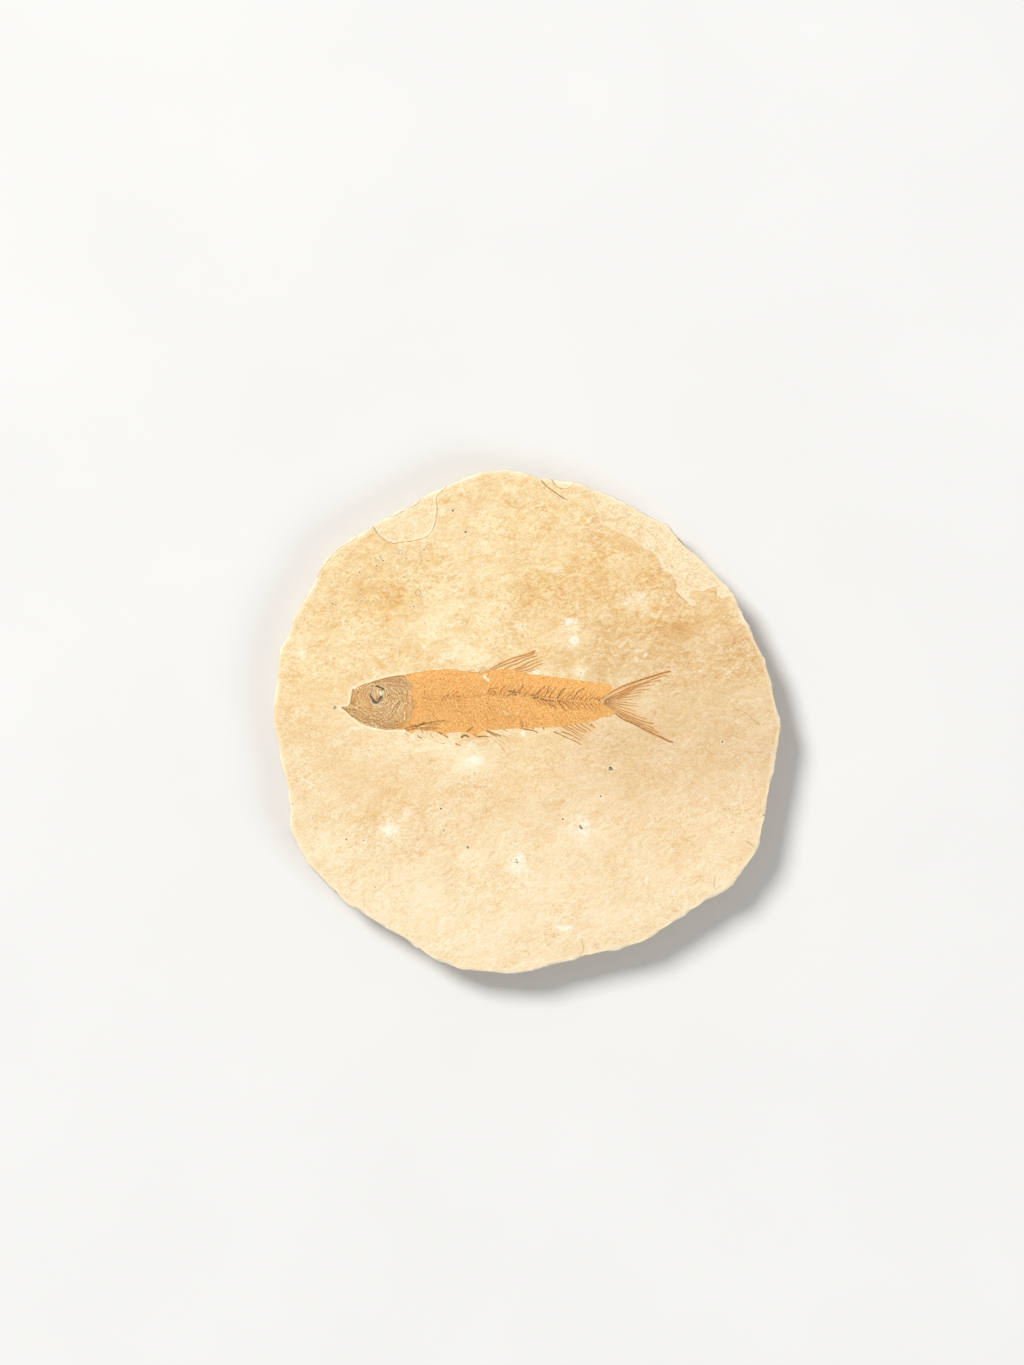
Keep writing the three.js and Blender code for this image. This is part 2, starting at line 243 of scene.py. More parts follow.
def ring_mesh():
    """Rings from the middle of the face to the rim, down the wall and back to the middle of the underside, as one closed skin."""
    n_rim = 832
    spacing = 2 * np.pi * 57.0 / n_rim
    pts, rings = [], []  # rings: list of (first index, count)

    def add(xyz):
        first = sum(len(a) for a in pts)
        pts.append(xyz)
        rings.append((first, len(xyz)))

    th = np.arange(n_rim) * 2 * np.pi / n_rim
    cs, sn = np.cos(th), np.sin(th)
    rim = edge_r(th)
    cir = lambda k, seed: noise(60 * cs / k, 60 * sn / k, 0.0, seed)
    bevel = np.clip(0.50 + 0.30 * cir(6.0, 21) + 0.16 * cir(1.9, 22), 0.12, 1.1)
    bevel_h = np.clip(0.62 + 0.34 * cir(7.5, 23) + 0.16 * cir(2.3, 24), 0.2, 1.4)
    top_r = rim - bevel

    # upper face
    n_face = int(round(57.0 / spacing * 1.03))
    zone = []
    for k in range(1, n_face + 1):
        t = k / n_face
        n = n_rim if k >= n_face - 1 else max(6, int(round(n_rim * t)))
        phase = 0.0 if k >= n_face - 1 else 0.5 * (k % 2)
        a = (np.arange(n) + phase) * 2 * np.pi / n
        r = np.interp(np.mod(a, 2 * np.pi), np.append(th, 2 * np.pi), np.append(top_r, top_r[0])) * t
        add(np.stack([MID[0] + r * np.cos(a), MID[1] + r * np.sin(a), np.full(n, TOP)], 1))
        zone.append(np.zeros(n))
    face_end = len(rings)

    # wall: bevel, then down to the underside
    arc = np.concatenate([[0], np.cumsum(np.hypot(np.diff(rim * cs), np.diff(rim * sn)))])
    around = arc[-1] + np.hypot(rim[0] * cs[0] - rim[-1] * cs[-1], rim[0] * sn[0] - rim[-1] * sn[-1])
    rng = np.random.default_rng(7)
    cells = []
    for row, (zc, gap) in enumerate([(TOP * 0.80, 8.5), (TOP * 0.45, 7.0), (TOP * 0.12, 8.0)]):
        count = int(around / gap)
        for c in range(count):
            cells.append([(c + rng.uniform(0.1, 0.9)) * around / count, zc + rng.uniform(-1.3, 1.3), rng.uniform(0.6, 1.4)])
    cells = np.array(cells)
    small = np.stack([rng.uniform(0, around, 420), rng.uniform(0, TOP, 420), rng.uniform(0.5, 1.5, 420)], 1)

    def scallop(s, z, pts2, ax, az):
        ds = np.abs(s[:, None] - pts2[None, :, 0])
        ds = np.minimum(ds, around - ds) / ax
        dz = (z[:, None] - pts2[None, :, 1]) / az
        d = np.sqrt(ds**2 + dz**2)
        order = np.argpartition(d, 1, axis=1)[:, :2]
        f = np.take_along_axis(d, order, 1)
        f.sort(axis=1)
        which = d.argmin(1)
        return f[:, 0], f[:, 1] - f[:, 0], pts2[which, 2]

    lift = cir(11, 31)
    for k, q in enumerate(np.concatenate([[0.22, 0.55, 0.85], np.linspace(1, 0, 22)[0:] ])):
        if k < 3:  # the broken bevel
            z = TOP - bevel_h * q**1.25
            r = top_r + bevel * q**0.8
        else:
            z = (TOP - bevel_h) * q + 0.0
            down = 1 - q
            r = rim + 0.08 - 0.9 * down**1.6 * (1 + 0.5 * lift) - 0.35 * smooth(0.82, 1.0, down)
        f1, edge, amount = scallop(arc, z, cells, 4.6, 3.4)
        g1, gedge, gamount = scallop(arc, z, small, 1.7, 1.3)
        fade = 1.0 if k >= 3 else 0.15 + 0.5 * q
        fade = fade * (1.0 if k != 3 else 0.7)
        hollow = 0.62 * amount * np.clip(1 - f1**2, 0, 1) + 0.16 * gamount * np.clip(1 - g1**2, 0, 1)
        rough = 0.10 * fbm(rim * cs / 1.5, rim * sn / 1.5, z / 0.9, 33, 3)
        lamina = 0.0
        for zl, wide, deep in [(1.6, 0.14, 0.10), (2.9, 0.10, 0.16), (4.3, 0.2, 0.08), (5.1, 0.1, 0.14), (6.6, 0.12, 0.12), (7.5, 0.1, 0.1)]:
            zz = zl * TOP / 9 + 0.22 * noise(60 * cs / 14, 60 * sn / 14, zl, 35)
            lamina = lamina + deep * smooth(-wide, wide, z - zz) * smooth(0.9, 0.3, np.abs(z - zz)) * (0.6 + 0.4 * noise(60 * cs / 9, 60 * sn / 9, zl + 7, 36))
        r = r - fade * (hollow - 0.12) - fade * lamina + rough * (0.5 + 0.5 * fade)
        r = np.minimum(r, rim + 0.15)
        z = z + (0.05 * noise(60 * cs / 1.3, 60 * sn / 1.3, q * 9, 37) if 3 < k < 24 else 0.0)
        add(np.stack([MID[0] + r * cs, MID[1] + r * sn, np.clip(z, 0.0, TOP) + np.zeros(n_rim)], 1))
        zone.append(np.full(n_rim, 1.0 if k >= 3 else 0.25 + 0.22 * k))
    wall_end = len(rings)
    base_r = np.hypot(pts[-1][:, 0] - MID[0], pts[-1][:, 1] - MID[1])

    # underside, coarser
    n_under = 58
    for k in range(1, n_under):
        t = 1 - k / n_under
        n = 416 if k == 1 else max(6, int(round(n_rim * 0.5 * t)))
        a = (np.arange(n) + 0.5 * (k % 2)) * 2 * np.pi / n
        r = np.interp(np.mod(a, 2 * np.pi), np.append(th, 2 * np.pi), np.append(base_r, base_r[0])) * t
        x, y = MID[0] + r * np.cos(a), MID[1] + r * np.sin(a)
        z = 0.12 + 0.12 * fbm(x / 9, y / 9, 5.0, 51, 4) + 0.04 * noise(x / 1.5, y / 1.5, 0.5, 52)
        z = np.maximum(z, 0) * smooth(0, 0.06, 1 - t)
        add(np.stack([x, y, z], 1))
        zone.append(np.full(n, 2.0))

    pts_all = np.vstack([[[MID[0], MID[1], TOP]]] + pts + [[[MID[0], MID[1], 0.1]]])
    rings = [(f + 1, n) for f, n in rings]
    zone = np.concatenate([[0.0]] + zone + [[2.0]])
    tris = []
    f, n = rings[0]
    tris += [(0, f + i, f + (i + 1) % n) for i in range(n)]
    for (fa, na), (fb, nb) in zip(rings[:-1], rings[1:]):
        if na == nb and (fa >= rings[face_end - 2][0]) and fb <= rings[wall_end - 1][0]:
            for i in range(na):
                j = (i + 1) % na
                a, b, c, d = fa + i, fa + j, fb + j, fb + i
                if (i + fa // na) % 2:
                    tris += [(a, d, c), (a, c, b)]
                else:
                    tris += [(a, d, b), (b, d, c)]
            continue
        # zip two rings of different counts by angle
        aa = np.arctan2(pts_all[fa : fa + na, 1] - MID[1], pts_all[fa : fa + na, 0] - MID[0]) % (2 * np.pi)
        ab = np.arctan2(pts_all[fb : fb + nb, 1] - MID[1], pts_all[fb : fb + nb, 0] - MID[0]) % (2 * np.pi)
        aa[aa > 2 * np.pi - 1e-7] = 0
        ab[ab > 2 * np.pi - 1e-7] = 0
        i = j = 0
        aa = np.append(aa, aa[0] + 2 * np.pi)
        ab = np.append(ab, ab[0] + 2 * np.pi)
        while i < na or j < nb:
            if j >= nb or (i < na and aa[i + 1] <= ab[j + 1]):
                tris.append((fa + i % na, fb + j % nb, fa + (i + 1) % na))
                i += 1
            else:
                tris.append((fa + i % na, fb + j % nb, fb + (j + 1) % nb))
                j += 1
    f, n = rings[-1]
    last = len(pts_all) - 1
    tris += [(last, f + (i + 1) % n, f + i) for i in range(n)]
    return pts_all, np.array(tris), zone, rings, face_end


def nudge_to_scars(p, rim_keep):
    """Face points next to a scar's border move to either side of it, so the step is crisp."""
    for _ in range(2):
        sd, _, _, _ = scars(p[:, :2])
        e = 0.02
        gx = (scars(p[:, :2] + [e, 0])[0] - scars(p[:, :2] - [e, 0])[0]) / (2 * e)
        gy = (scars(p[:, :2] + [0, e])[0] - scars(p[:, :2] - [0, e])[0]) / (2 * e)
        g = np.hypot(gx, gy)
        ok = (np.abs(sd) < 0.26) & (g > 0.5) & (g < 1.6) & rim_keep
        want = np.where(sd < 0, -0.05, 0.05)
        step = np.where(ok, (want - sd) * smooth(0.26, 0.16, np.abs(sd)), 0)
        p[:, 0] += step * gx / np.maximum(g, 1e-6)
        p[:, 1] += step * gy / np.maximum(g, 1e-6)
    return p


def new_mesh(name, points_mm, tris, attributes, sharp=None):
    me = bpy.data.meshes.new(name)
    me.vertices.add(len(points_mm))
    me.vertices.foreach_set("co", (np.asarray(points_mm) / 1000).astype(np.float32).ravel())
    me.loops.add(len(tris) * 3)
    me.loops.foreach_set("vertex_index", np.asarray(tris, np.int32).ravel())
    me.polygons.add(len(tris))
    me.polygons.foreach_set("loop_start", np.arange(0, len(tris) * 3, 3, dtype=np.int32))
    me.polygons.foreach_set("loop_total", np.full(len(tris), 3, np.int32))
    me.polygons.foreach_set("use_smooth", np.ones(len(tris), bool))
    me.update(calc_edges=True)
    me.validate()
    for key, value in attributes.items():
        value = np.asarray(value, np.float32)
        if value.ndim == 1:
            me.attributes.new(key, "FLOAT", "POINT").data.foreach_set("value", value)
        else:
            me.attributes.new(key, "FLOAT_VECTOR", "POINT").data.foreach_set("vector", value.ravel())
    if sharp:
        me.set_sharp_from_angle(angle=math.radians(sharp))
    ob = bpy.data.objects.new(name, me)
    bpy.context.scene.collection.objects.link(ob)
    return ob


# ------------------------------------------------------------------ marks on the face
# Soft patches: u, v, half-width, half-height, turn in degrees, strength. Positive is paler, negative is darker tan.
CLOUDS = [
    (470, 655, 24, 9, 0, 0.55), (436, 622, 24, 18, 0, 0.35), (488, 622, 12, 14, 0, 0.35), (462, 600, 30, 9, -10, 0.2),
    (415, 575, 9, 9, 0, 0.15), (505, 498, 20, 14, 0, -0.1), (455, 520, 30, 12, 10, 0.2), (470, 545, 22, 9, 0, 0.25),
    (388, 560, 22, 14, 0, -0.1), (365, 590, 24, 20, 30, -0.25), (398, 600, 18, 22, 20, -0.55), (330, 620, 22, 18, 40, -0.15),
    (420, 566, 14, 7, 0, -0.3), (545, 585, 26, 14, 15, -0.35), (585, 560, 24, 16, 20, -0.4), (560, 610, 22, 14, 0, -0.35),
    (600, 590, 22, 20, 0, -0.4), (640, 625, 40, 16, 10, -0.4), (690, 625, 34, 16, 20, -0.35), (560, 655, 40, 14, 5, -0.22),
    (620, 660, 46, 14, 0, -0.24), (700, 670, 40, 18, 10, -0.2), (740, 640, 14, 20, 20, -0.2), (650, 575, 14, 12, 30, -0.5),
    (620, 548, 24, 10, 20, -0.3), (524, 600, 9, 10, 0, -0.3), (500, 650, 12, 6, 0, -0.15), (545, 524, 18, 10, 20, -0.2),
    (640, 604, 12, 8, 20, 0.35), (628, 601, 5, 4, 0, 0.3), (655, 600, 9, 5, 0, 0.2), (569, 640, 12, 12, 0, 0.3),
    (537, 672, 9, 4, 0, 0.4), (581, 672, 6, 5, 0, 0.35), (560, 672, 30, 5, 0, 0.15), (440, 748, 40, 8, 0, 0.25),
    (470, 765, 18, 12, -10, 0.45), (345, 725, 16, 12, 0, 0.15), (310, 690, 22, 24, 0, -0.12), (330, 760, 20, 18, 0, -0.08),
    (378, 812, 26, 7, 15, -0.3), (394, 792, 14, 7, 0, -0.25), (360, 780, 22, 12, 0, -0.12), (420, 800, 18, 10, 0, -0.12),
    (389, 829, 8, 7, 0, 0.45), (430, 850, 30, 12, 0, -0.05), (500, 790, 40, 16, 10, -0.1), (545, 770, 30, 20, 0, -0.12),
    (620, 760, 30, 24, 0, -0.18), (660, 720, 30, 18, 0, -0.2), (700, 760, 30, 20, 20, -0.15), (650, 780, 18, 12, 0, -0.12),
    (580, 832, 10, 12, 0, 0.35), (518, 866, 7, 12, 0, 0.45), (500, 880, 20, 12, 0, -0.12), (660, 830, 26, 20, 30, -0.1),
    (680, 860, 22, 14, 30, -0.12), (560, 900, 50, 16, 0, -0.03), (480, 930, 60, 20, 0, 0.1), (620, 915, 30, 10, 0, 0.1),
    (700, 820, 18, 22, 0, 0.1), (745, 790, 12, 30, 0, 0.1), (430, 905, 20, 16, 0, 0.08), (330, 850, 22, 20, 0, 0.08),
    (298, 700, 8, 40, 0, 0.08), (300, 650, 8, 14, 0, 0.2), (762, 700, 10, 30, 0, 0.12),
]
# Small chalky spots: u, v, radius u, radius v, strength
SPOTS = [
    (568.4, 621.5, 5.2, 2.2, 0.95), (574, 641.5, 3.4, 4.2, 0.9), (566, 630, 6, 7, 0.35), (576, 628, 3, 3, 0.5), (523.1, 627, 3, 3, 0.55),
    (555.5, 571.5, 5, 3.4, 0.45), (546, 566, 5, 1.6, 0.35), (627.6, 601.1, 4, 3.4, 0.6), (640, 597, 5, 4, 0.45), (646, 608, 5, 4, 0.4),
    (617, 597, 2.4, 2.4, 0.5), (389.1, 829.1, 6.5, 5.5, 0.7), (472.7, 759.5, 7, 4.4, 0.8), (462, 768, 7, 4, 0.3), (471, 745, 3, 3, 0.5),
    (518.2, 861.8, 5, 6.6, 0.8), (517, 873, 3.4, 4, 0.4), (585, 828, 5.6, 5.4, 0.7), (581, 817, 3, 2.6, 0.5), (419, 911, 2, 3, 0.5),
    (625.8, 910.5, 3.4, 2, 0.4), (564.7, 928.4, 5.4, 1.8, 0.8), (559, 925, 2.4, 1.4, 0.5), (607.3, 904.4, 1.8, 2.6, 0.6), (647, 879, 1.6, 2.4, 0.7),
    (424, 646, 1.4, 1.2, 0.95), (373.3, 669.7, 0.9, 2.1, 1.0), (401, 620, 5, 4, 0.3), (430, 631, 6, 4, 0.35), (461, 646, 6, 4, 0.45),
    (450, 657, 8, 5, 0.45), (444, 654, 3, 2.6, 0.4), (407, 812, 5, 5, 0.35), (403, 818, 4, 3, 0.3), (505, 600, 3, 2, 0.25), (343.2, 622, 0.8, 3.2, 0.6),
    (302, 654, 4.4, 3.2, 0.45), (340, 742, 2.6, 1.8, 0.3), (356, 727.5, 3.6, 2, 0.4), (378, 735, 8, 2.4, 0.35), (398, 738, 5, 2.4, 0.35),
    (414, 738, 4, 4, 0.4), (424, 741, 4, 3.2, 0.35), (452, 741, 6, 3, 0.25), (523, 734, 1.4, 1.6, 1.0), (611.5, 768.6, 3.4, 2.6, 0.55),
    (449, 813, 3, 3, 0.3), (412, 790, 4, 3, 0.25), (604, 849, 3, 2, 0.2), (481, 565.4, 2.6, 2.4, 0.3), (480.4, 470.4, 6, 2, 0.2),
    (665, 596, 6, 4, 0.35), (676, 603, 5, 3, 0.3), (641, 614.5, 3, 1.4, 0.4), (604, 614, 4, 2, 0.3), (707, 623, 3, 1.6, 0.35), (718, 626.5, 2, 1.2, 0.5),
    (645.5, 655, 1.2, 1.6, 0.9), (639, 651, 2, 1.6, 0.5), (636, 660, 2, 2, 0.5), (652, 635, 3, 2, 0.35), (699.6, 658, 2, 2.6, 0.4), (728, 631, 3, 2, 0.3),
    (495, 646, 3, 3, 0.3), (507, 635, 2.6, 2, 0.3), (510, 598, 4, 3, 0.25), (536.6, 671.2, 2.6, 2.4, 0.6), (580.6, 673, 3.2, 3, 0.6), (559, 674, 2, 2, 0.4),
    (577, 755, 3.4, 3.4, 0.2), (743, 645, 3, 6, 0.3), (602, 800, 1.6, 1.6, 0.4), (440.4, 808.8, 1.6, 1.6, 0.3), (505, 851.6, 1.2, 1.2, 0.7),
]
# Rusty smudges: u, v, radius, strength
RUST = [
    (402.9, 589.2, 2.0, 0.75), (400.6, 586.6, 1.4, 0.5), (509.2, 624.1, 2.6, 0.3), (505.3, 608.8, 1.1, 1.0), (636.9, 613.6, 1.6, 0.8), (669.2, 613.4, 2.6, 0.6),
    (654.4, 582.8, 0.8, 0.6), (304.5, 798, 2.0, 0.4), (420.9, 854.5, 2.2, 0.35), (457.3, 825.5, 2.2, 0.55), (452, 826, 1.6, 0.3), (523.6, 886.5, 2.6, 0.35),
    (544.9, 805.4, 2.4, 0.5), (562.9, 801.3, 2.4, 0.6), (597, 811.5, 1.6, 0.4), (595.2, 945, 2.8, 0.55), (598, 948, 1.6, 0.4), (526, 888, 2.2, 0.3),
    (432.6, 576.2, 1.5, 0.7), (475, 516, 1.8, 0.4), (507, 544, 2.2, 0.35), (497, 594.5, 1.2, 0.5), (659, 727.6, 2.0, 0.3), (650, 724, 2.2, 0.2), (422, 794, 2.4, 0.3),
    (446, 737, 2.4, 0.3), (425.6, 792.6, 2.2, 0.3), (496, 872, 2.4, 0.25), (305, 800, 2.0, 0.3), (298, 779, 2.2, 0.25), (655, 712.8, 2.0, 0.8), (651.6, 711, 1.8, 0.5),
    (627, 600.6, 1.4, 0.3), (636, 636, 1.5, 0.3), (391, 543.8, 1.6, 0.2), (351, 555.4, 3.0, 0.25), (617, 560.5, 1.4, 0.2), (484, 743, 3.4, 0.15), (505, 744, 6, 0.16),
    (660.6, 571, 2.6, 0.5), (672, 581, 3.2, 0.4), (667, 576, 3.4, 0.4), (659, 567, 2.4, 0.35), (588, 513, 4, 0.25), (596, 522, 4, 0.3), (641, 549, 3, 0.3), (651, 555, 3, 0.3),
    (581, 728, 4, 0.12), (724, 741.5, 1.2, 0.2), (735, 640, 6, 0.2), (741, 648, 5, 0.2), (600, 672.6, 3, 0.2), (588.5, 660.4, 3.6, 0.35), (520, 640, 8, 0.1),
]
# Dark specks: u, v, radius, darkness
SPECKS = [
    (452.7, 510.5, 1.25, 0.85), (465.7, 531.9, 1.25, 0.9), (406.4, 558.5, 1.1, 0.55), (382.9, 560.7, 0.95, 0.7), (380.1, 556.4, 0.95, 0.7), (376.7, 565.7, 1.0, 0.6),
    (359.7, 572.5, 0.95, 0.75), (332.4, 603.8, 1.2, 0.6), (413.8, 606.3, 0.9, 0.75), (290.9, 650.3, 0.8, 0.6), (404.6, 577.2, 1.1, 0.35), (371.4, 580.4, 1.0, 0.4),
    (424.2, 549.8, 1.2, 0.45), (337.6, 555.9, 0.9, 0.5), (331.6, 582.4, 1.3, 0.3), (361.8, 600.6, 1.1, 0.4), (365.4, 598, 0.8, 0.4), (440.9, 808.7, 1.05, 0.95),
    (449.1, 813.4, 0.8, 0.6), (467.8, 847.3, 1.4, 0.75), (443.8, 830.4, 1.3, 0.4), (363.6, 840.5, 0.85, 0.7), (346, 839.1, 0.75, 0.8), (347.4, 840.3, 0.6, 0.6),
    (375.1, 887.3, 0.9, 0.5), (312.7, 818.2, 0.9, 0.35), (610.2, 767.6, 1.3, 0.9), (612.6, 769.6, 1.0, 0.75), (609.0, 770.4, 0.7, 0.6), (580.3, 825.8, 0.95, 0.9),
    (581.8, 828.4, 1.05, 0.9), (579.5, 827.4, 0.7, 0.6), (600.8, 796.2, 1.0, 0.85), (562.9, 819.3, 0.9, 0.9), (516.2, 859.2, 0.8, 0.6), (517.6, 862.4, 0.9, 0.75),
    (514.6, 862.6, 0.6, 0.5), (733, 832.2, 0.9, 0.75), (722.5, 741.6, 1.05, 0.85), (763.5, 815, 1.1, 0.5), (515.7, 841.5, 0.8, 0.45), (593.4, 740.1, 0.9, 0.3),
    (478.5, 744.4, 1.3, 0.3), (335.0, 707.2, 1.5, 0.6), (333.6, 709.4, 0.8, 0.5), (536.1, 671.1, 0.8, 0.4), (580.8, 672.9, 0.85, 0.6), (718.5, 821.6, 0.8, 0.4),
    (590.6, 741.6, 0.7, 0.3), (602.7, 654.8, 0.8, 0.5), (600, 652.4, 0.6, 0.4), (594.6, 733, 0.9, 0.3), (396.6, 550, 0.8, 0.4), (511, 550, 0.8, 0.4), (498, 620.4, 0.6, 0.4),
    (540.6, 742, 0.6, 0.3), (577.4, 738.8, 0.7, 0.35), (730.8, 591.6, 0.9, 0.5), (292.4, 804.2, 0.8, 0.5), (292.8, 817.2, 0.7, 0.4), (300, 690, 0.7, 0.3),
    (425, 700.5, 0.01, 0.0), (619, 677, 0.6, 0.4), (606, 684.6, 0.7, 0.5), (553, 745, 0.6, 0.3), (460, 598, 0.6, 0.3), (535, 620, 0.6, 0.25), (661, 700, 0.7, 0.25),
]
# Tiny ring marks: u, v, radius, line, darkness
RINGS = [
    (418.1, 592.9, 2.7, 0.7, 0.6), (400.4, 552.2, 2.0, 0.65, 0.5), (391.9, 576.4, 1.5, 0.6, 0.4), (482.3, 564.9, 2.0, 0.6, 0.22), (338.6, 612.2, 2.2, 0.6, 0.2),
    (412.8, 582.2, 1.8, 0.6, 0.25), (370.8, 603.8, 1.4, 0.5, 0.2), (744.6, 728.6, 1.6, 0.6, 0.15),
]
# Hairlines: points, half-width, strength (negative is pale)
HAIRS = [
    ([(539.6, 478.2), (543, 482.4), (548.4, 487.6), (554.8, 492.2), (561.2, 496.6), (568.8, 501)], 0.5, 0.85),
    ([(742.3, 711.1), (748, 714.6), (753, 719.6), (760.8, 725.9)], 0.4, 0.45), ([(744.1, 840.4), (749.5, 843.2), (755.6, 848)], 0.45, 0.45),
    ([(714.3, 873.8), (714.8, 880), (713.6, 887), (718.2, 890.5)], 0.45, 0.3), ([(581.4, 937.5), (583.4, 947), (583.2, 951.5), (579.5, 955.2)], 0.45, 0.4),
    ([(447.8, 567.7), (452.6, 563)], 0.4, 0.4), ([(450.2, 568), (455, 563.4)], 0.4, -0.4), ([(300.6, 776.6), (307, 781.4), (317, 786.4)], 0.7, -0.6),
    ([(342.2, 619), (343.6, 626)], 0.6, -0.5), ([(349, 830), (355, 823)], 0.5, -0.3), ([(583.6, 830.2), (588, 826)], 0.4, 0.1), ([(621, 829.4), (626, 828)], 0.5, 0.35),
    ([(727.4, 738.2), (733, 733)], 0.4, 0.2), ([(675.7, 592), (680.6, 597), (688.6, 604.9)], 0.4, 0.5), ([(659.4, 571), (660.8, 566.6), (659.2, 562)], 0.5, 0.3),
    ([(578, 492.6), (586, 491.6), (594, 489.4)], 0.4, 0.25), ([(352, 747), (357, 749.6), (362, 750.6)], 0.6, -0.4), ([(590, 868), (600, 860)], 0.5, -0.2),
    ([(489, 749), (496, 741)], 0.4, 0.1), ([(740, 790), (746, 760)], 0.5, -0.12), ([(420, 745.4), (430, 748)], 0.5, -0.3), ([(652, 668), (666, 664)], 0.6, 0.1),
]


def blobs(p, table, warp=0.0, seed=61):
    out = np.zeros(len(p))
    wx = warp * fbm(p[:, 0] / 3.1, p[:, 1] / 3.1, 0.0, seed, 3)
    wy = warp * fbm(p[:, 0] / 3.1, p[:, 1] / 3.1, 9.0, seed, 3)
    q = np.stack([p[:, 0] + wx, p[:, 1] + wy], 1)
    for u, v, a, b, turn, s in table:
        c = mm([[u, v]])[0]
        d = q - c
        t = math.radians(turn)
        x = (d[:, 0] * math.cos(t) + d[:, 1] * math.sin(t)) / (a / DPM)
        y = (-d[:, 0] * math.sin(t) + d[:, 1] * math.cos(t)) / (b / DPM)
        out += s * np.exp(-0.9 * (x * x + y * y))
    return out


def spots(p, table, warp, seed):
    """Patches with a fairly firm edge."""
    out = np.zeros(len(p))
    w = warp * fbm(p[:, 0] / 0.9, p[:, 1] / 0.9, 0.0, seed, 3)
    for u, v, a, b, s in table:
        c = mm([[u, v]])[0]
        a, b = a / DPM, b / DPM
        i = np.nonzero((np.abs(p[:, 0] - c[0]) < 3 * a + 1) & (np.abs(p[:, 1] - c[1]) < 3 * b + 1))[0]
        r = np.hypot((p[i, 0] - c[0]) / a, (p[i, 1] - c[1]) / b) + w[i]
        out[i] = np.maximum(out[i], s * smooth(1.5, 0.45, r))
    return out


def nearest(p, table, reach):
    """The vector to the nearest listed mark and its number, for points within reach of it."""
    c = mm([[r[0], r[1]] for r in table])
    which = np.full(len(p), -1)
    best = np.full(len(p), reach)
    vec = np.full((len(p), 2), 9.0)
    for k in range(len(c)):
        i = np.nonzero((np.abs(p[:, 0] - c[k, 0]) < reach) & (np.abs(p[:, 1] - c[k, 1]) < reach))[0]
        d = np.hypot(*(p[i] - c[k]).T)
        ok = d < best[i]
        best[i[ok]] = d[ok]
        which[i[ok]] = k
        vec[i[ok]] = p[i[ok]] - c[k]
    return vec, which


def hairs(p):
    """Signed distance across the nearest hairline, its half-width, and its strength with its ends faded."""
    out = np.zeros((len(p), 3))
    out[:, 0] = 9.0
    for line, w, s in HAIRS:
        line = curve(line)
        i = near(p, line, 1.3)
        d, t, side = seg_dist(p[i], line)
        fade = smooth(0.0, 0.12, t) * smooth(1.0, 0.88, t)
        ok = (d < 1.2) & (d < np.abs(out[i, 0]))
        j = i[ok]
        out[j, 0] = (d * side)[ok]
        out[j, 1] = w / DPM
        out[j, 2] = s * fade[ok]
    return out


# ------------------------------------------------------------------ the fish
OUTLINE = [
    (340.3, 707.6), (342.6, 706.2), (345.2, 706.6), (348.2, 705.6), (349.8, 702.6), (350.4, 698.6), (351.2, 694.6), (351.8, 690.6), (353.2, 688.4),
    (355.2, 689.4), (357.8, 686.4), (363.6, 684), (369.6, 682.2), (376, 680.2), (384.2, 677.8), (392.8, 676), (399, 675), (404.6, 675),
    (408.7, 673.7), (416, 672.4), (423.6, 671.1), (431, 670.2), (439.8, 669.8), (446.5, 669.2), (452.8, 668.9), (455.5, 670.6), (462.6, 670.8),
    (473.5, 671.8), (480.5, 672.6), (483.7, 672.6), (489.4, 670.6), (496, 669.6), (503, 668.9), (510, 669), (516, 669.8), (523, 671.8),
    (528.7, 674.3), (538.3, 674.8), (550, 676.3), (561, 677.8), (568, 678.7), (579.4, 680.4), (588, 681.8), (595, 682.8), (600.3, 683.2),
    (608.2, 683.5), (610.4, 685.6), (612.8, 688.8), (614.4, 692), (612, 700), (617, 711.6), (615, 714), (611.8, 715.3), (607.2, 717), (603.6, 717.2),
    (599.8, 718), (595.2, 720.6), (590, 721.8), (585.2, 722.6), (579.4, 723.1), (570, 724.8), (562, 726.2), (554, 727.5), (543.8, 727.3),
    (535, 727.5), (525.5, 728.8), (516.7, 728.2), (508, 728.9), (502, 729.3), (494, 729.6), (489.5, 730.4), (484.3, 730.8), (480.6, 731.4),
    (478, 733.4), (474.4, 733), (471.6, 734.4), (468.6, 732.6), (465.8, 732), (460, 731.6), (455, 732.2), (449, 732.6), (446.9, 733.4), (443.6, 735.8),
    (441.4, 733), (438.2, 732), (431.7, 731.2), (426.3, 730.6), (419.6, 730), (416.5, 729.6), (414.3, 731.4), (411.2, 733.8), (408.8, 732.4),
    (406.6, 731.9), (404.6, 729), (401, 729.8), (396.4, 729.4), (391, 729.9), (386.2, 729.8), (378.5, 728.6), (373.6, 727.9), (366, 725.4),
    (360, 722.8), (354.5, 719.2), (350, 715.6), (346.2, 711.8), (343, 709.3),
]
GILL = [(404.4, 672), (404.6, 675.8), (407.6, 679.8), (411.6, 683.6), (413.0, 686.2), (411.2, 689), (409.4, 691.6), (412.2, 695.4), (415.2, 699.6),
        (416.2, 704.4), (415.6, 709.4), (414.4, 714), (412.2, 718.8), (408.6, 722.6), (404.2, 726.2), (402.6, 732)]
FAN = [(595.6, 700.8), (601, 697.4), (606.8, 693.8), (611.6, 690.2), (615.8, 688.4), (622.1, 685.8), (630.2, 683), (637, 680.8), (634, 683.6), (627, 688), (622.6, 692),
       (619.4, 696.2), (617.4, 700.4), (618.6, 704.4), (621.4, 708.6), (625.6, 712.6), (630.4, 716.8), (637, 721.6), (640, 726.4), (631.7, 722.6), (626.7, 721.2), (621.6, 719.4),
       (617.6, 716.4), (613.6, 712), (607, 707), (600.6, 703.8)]
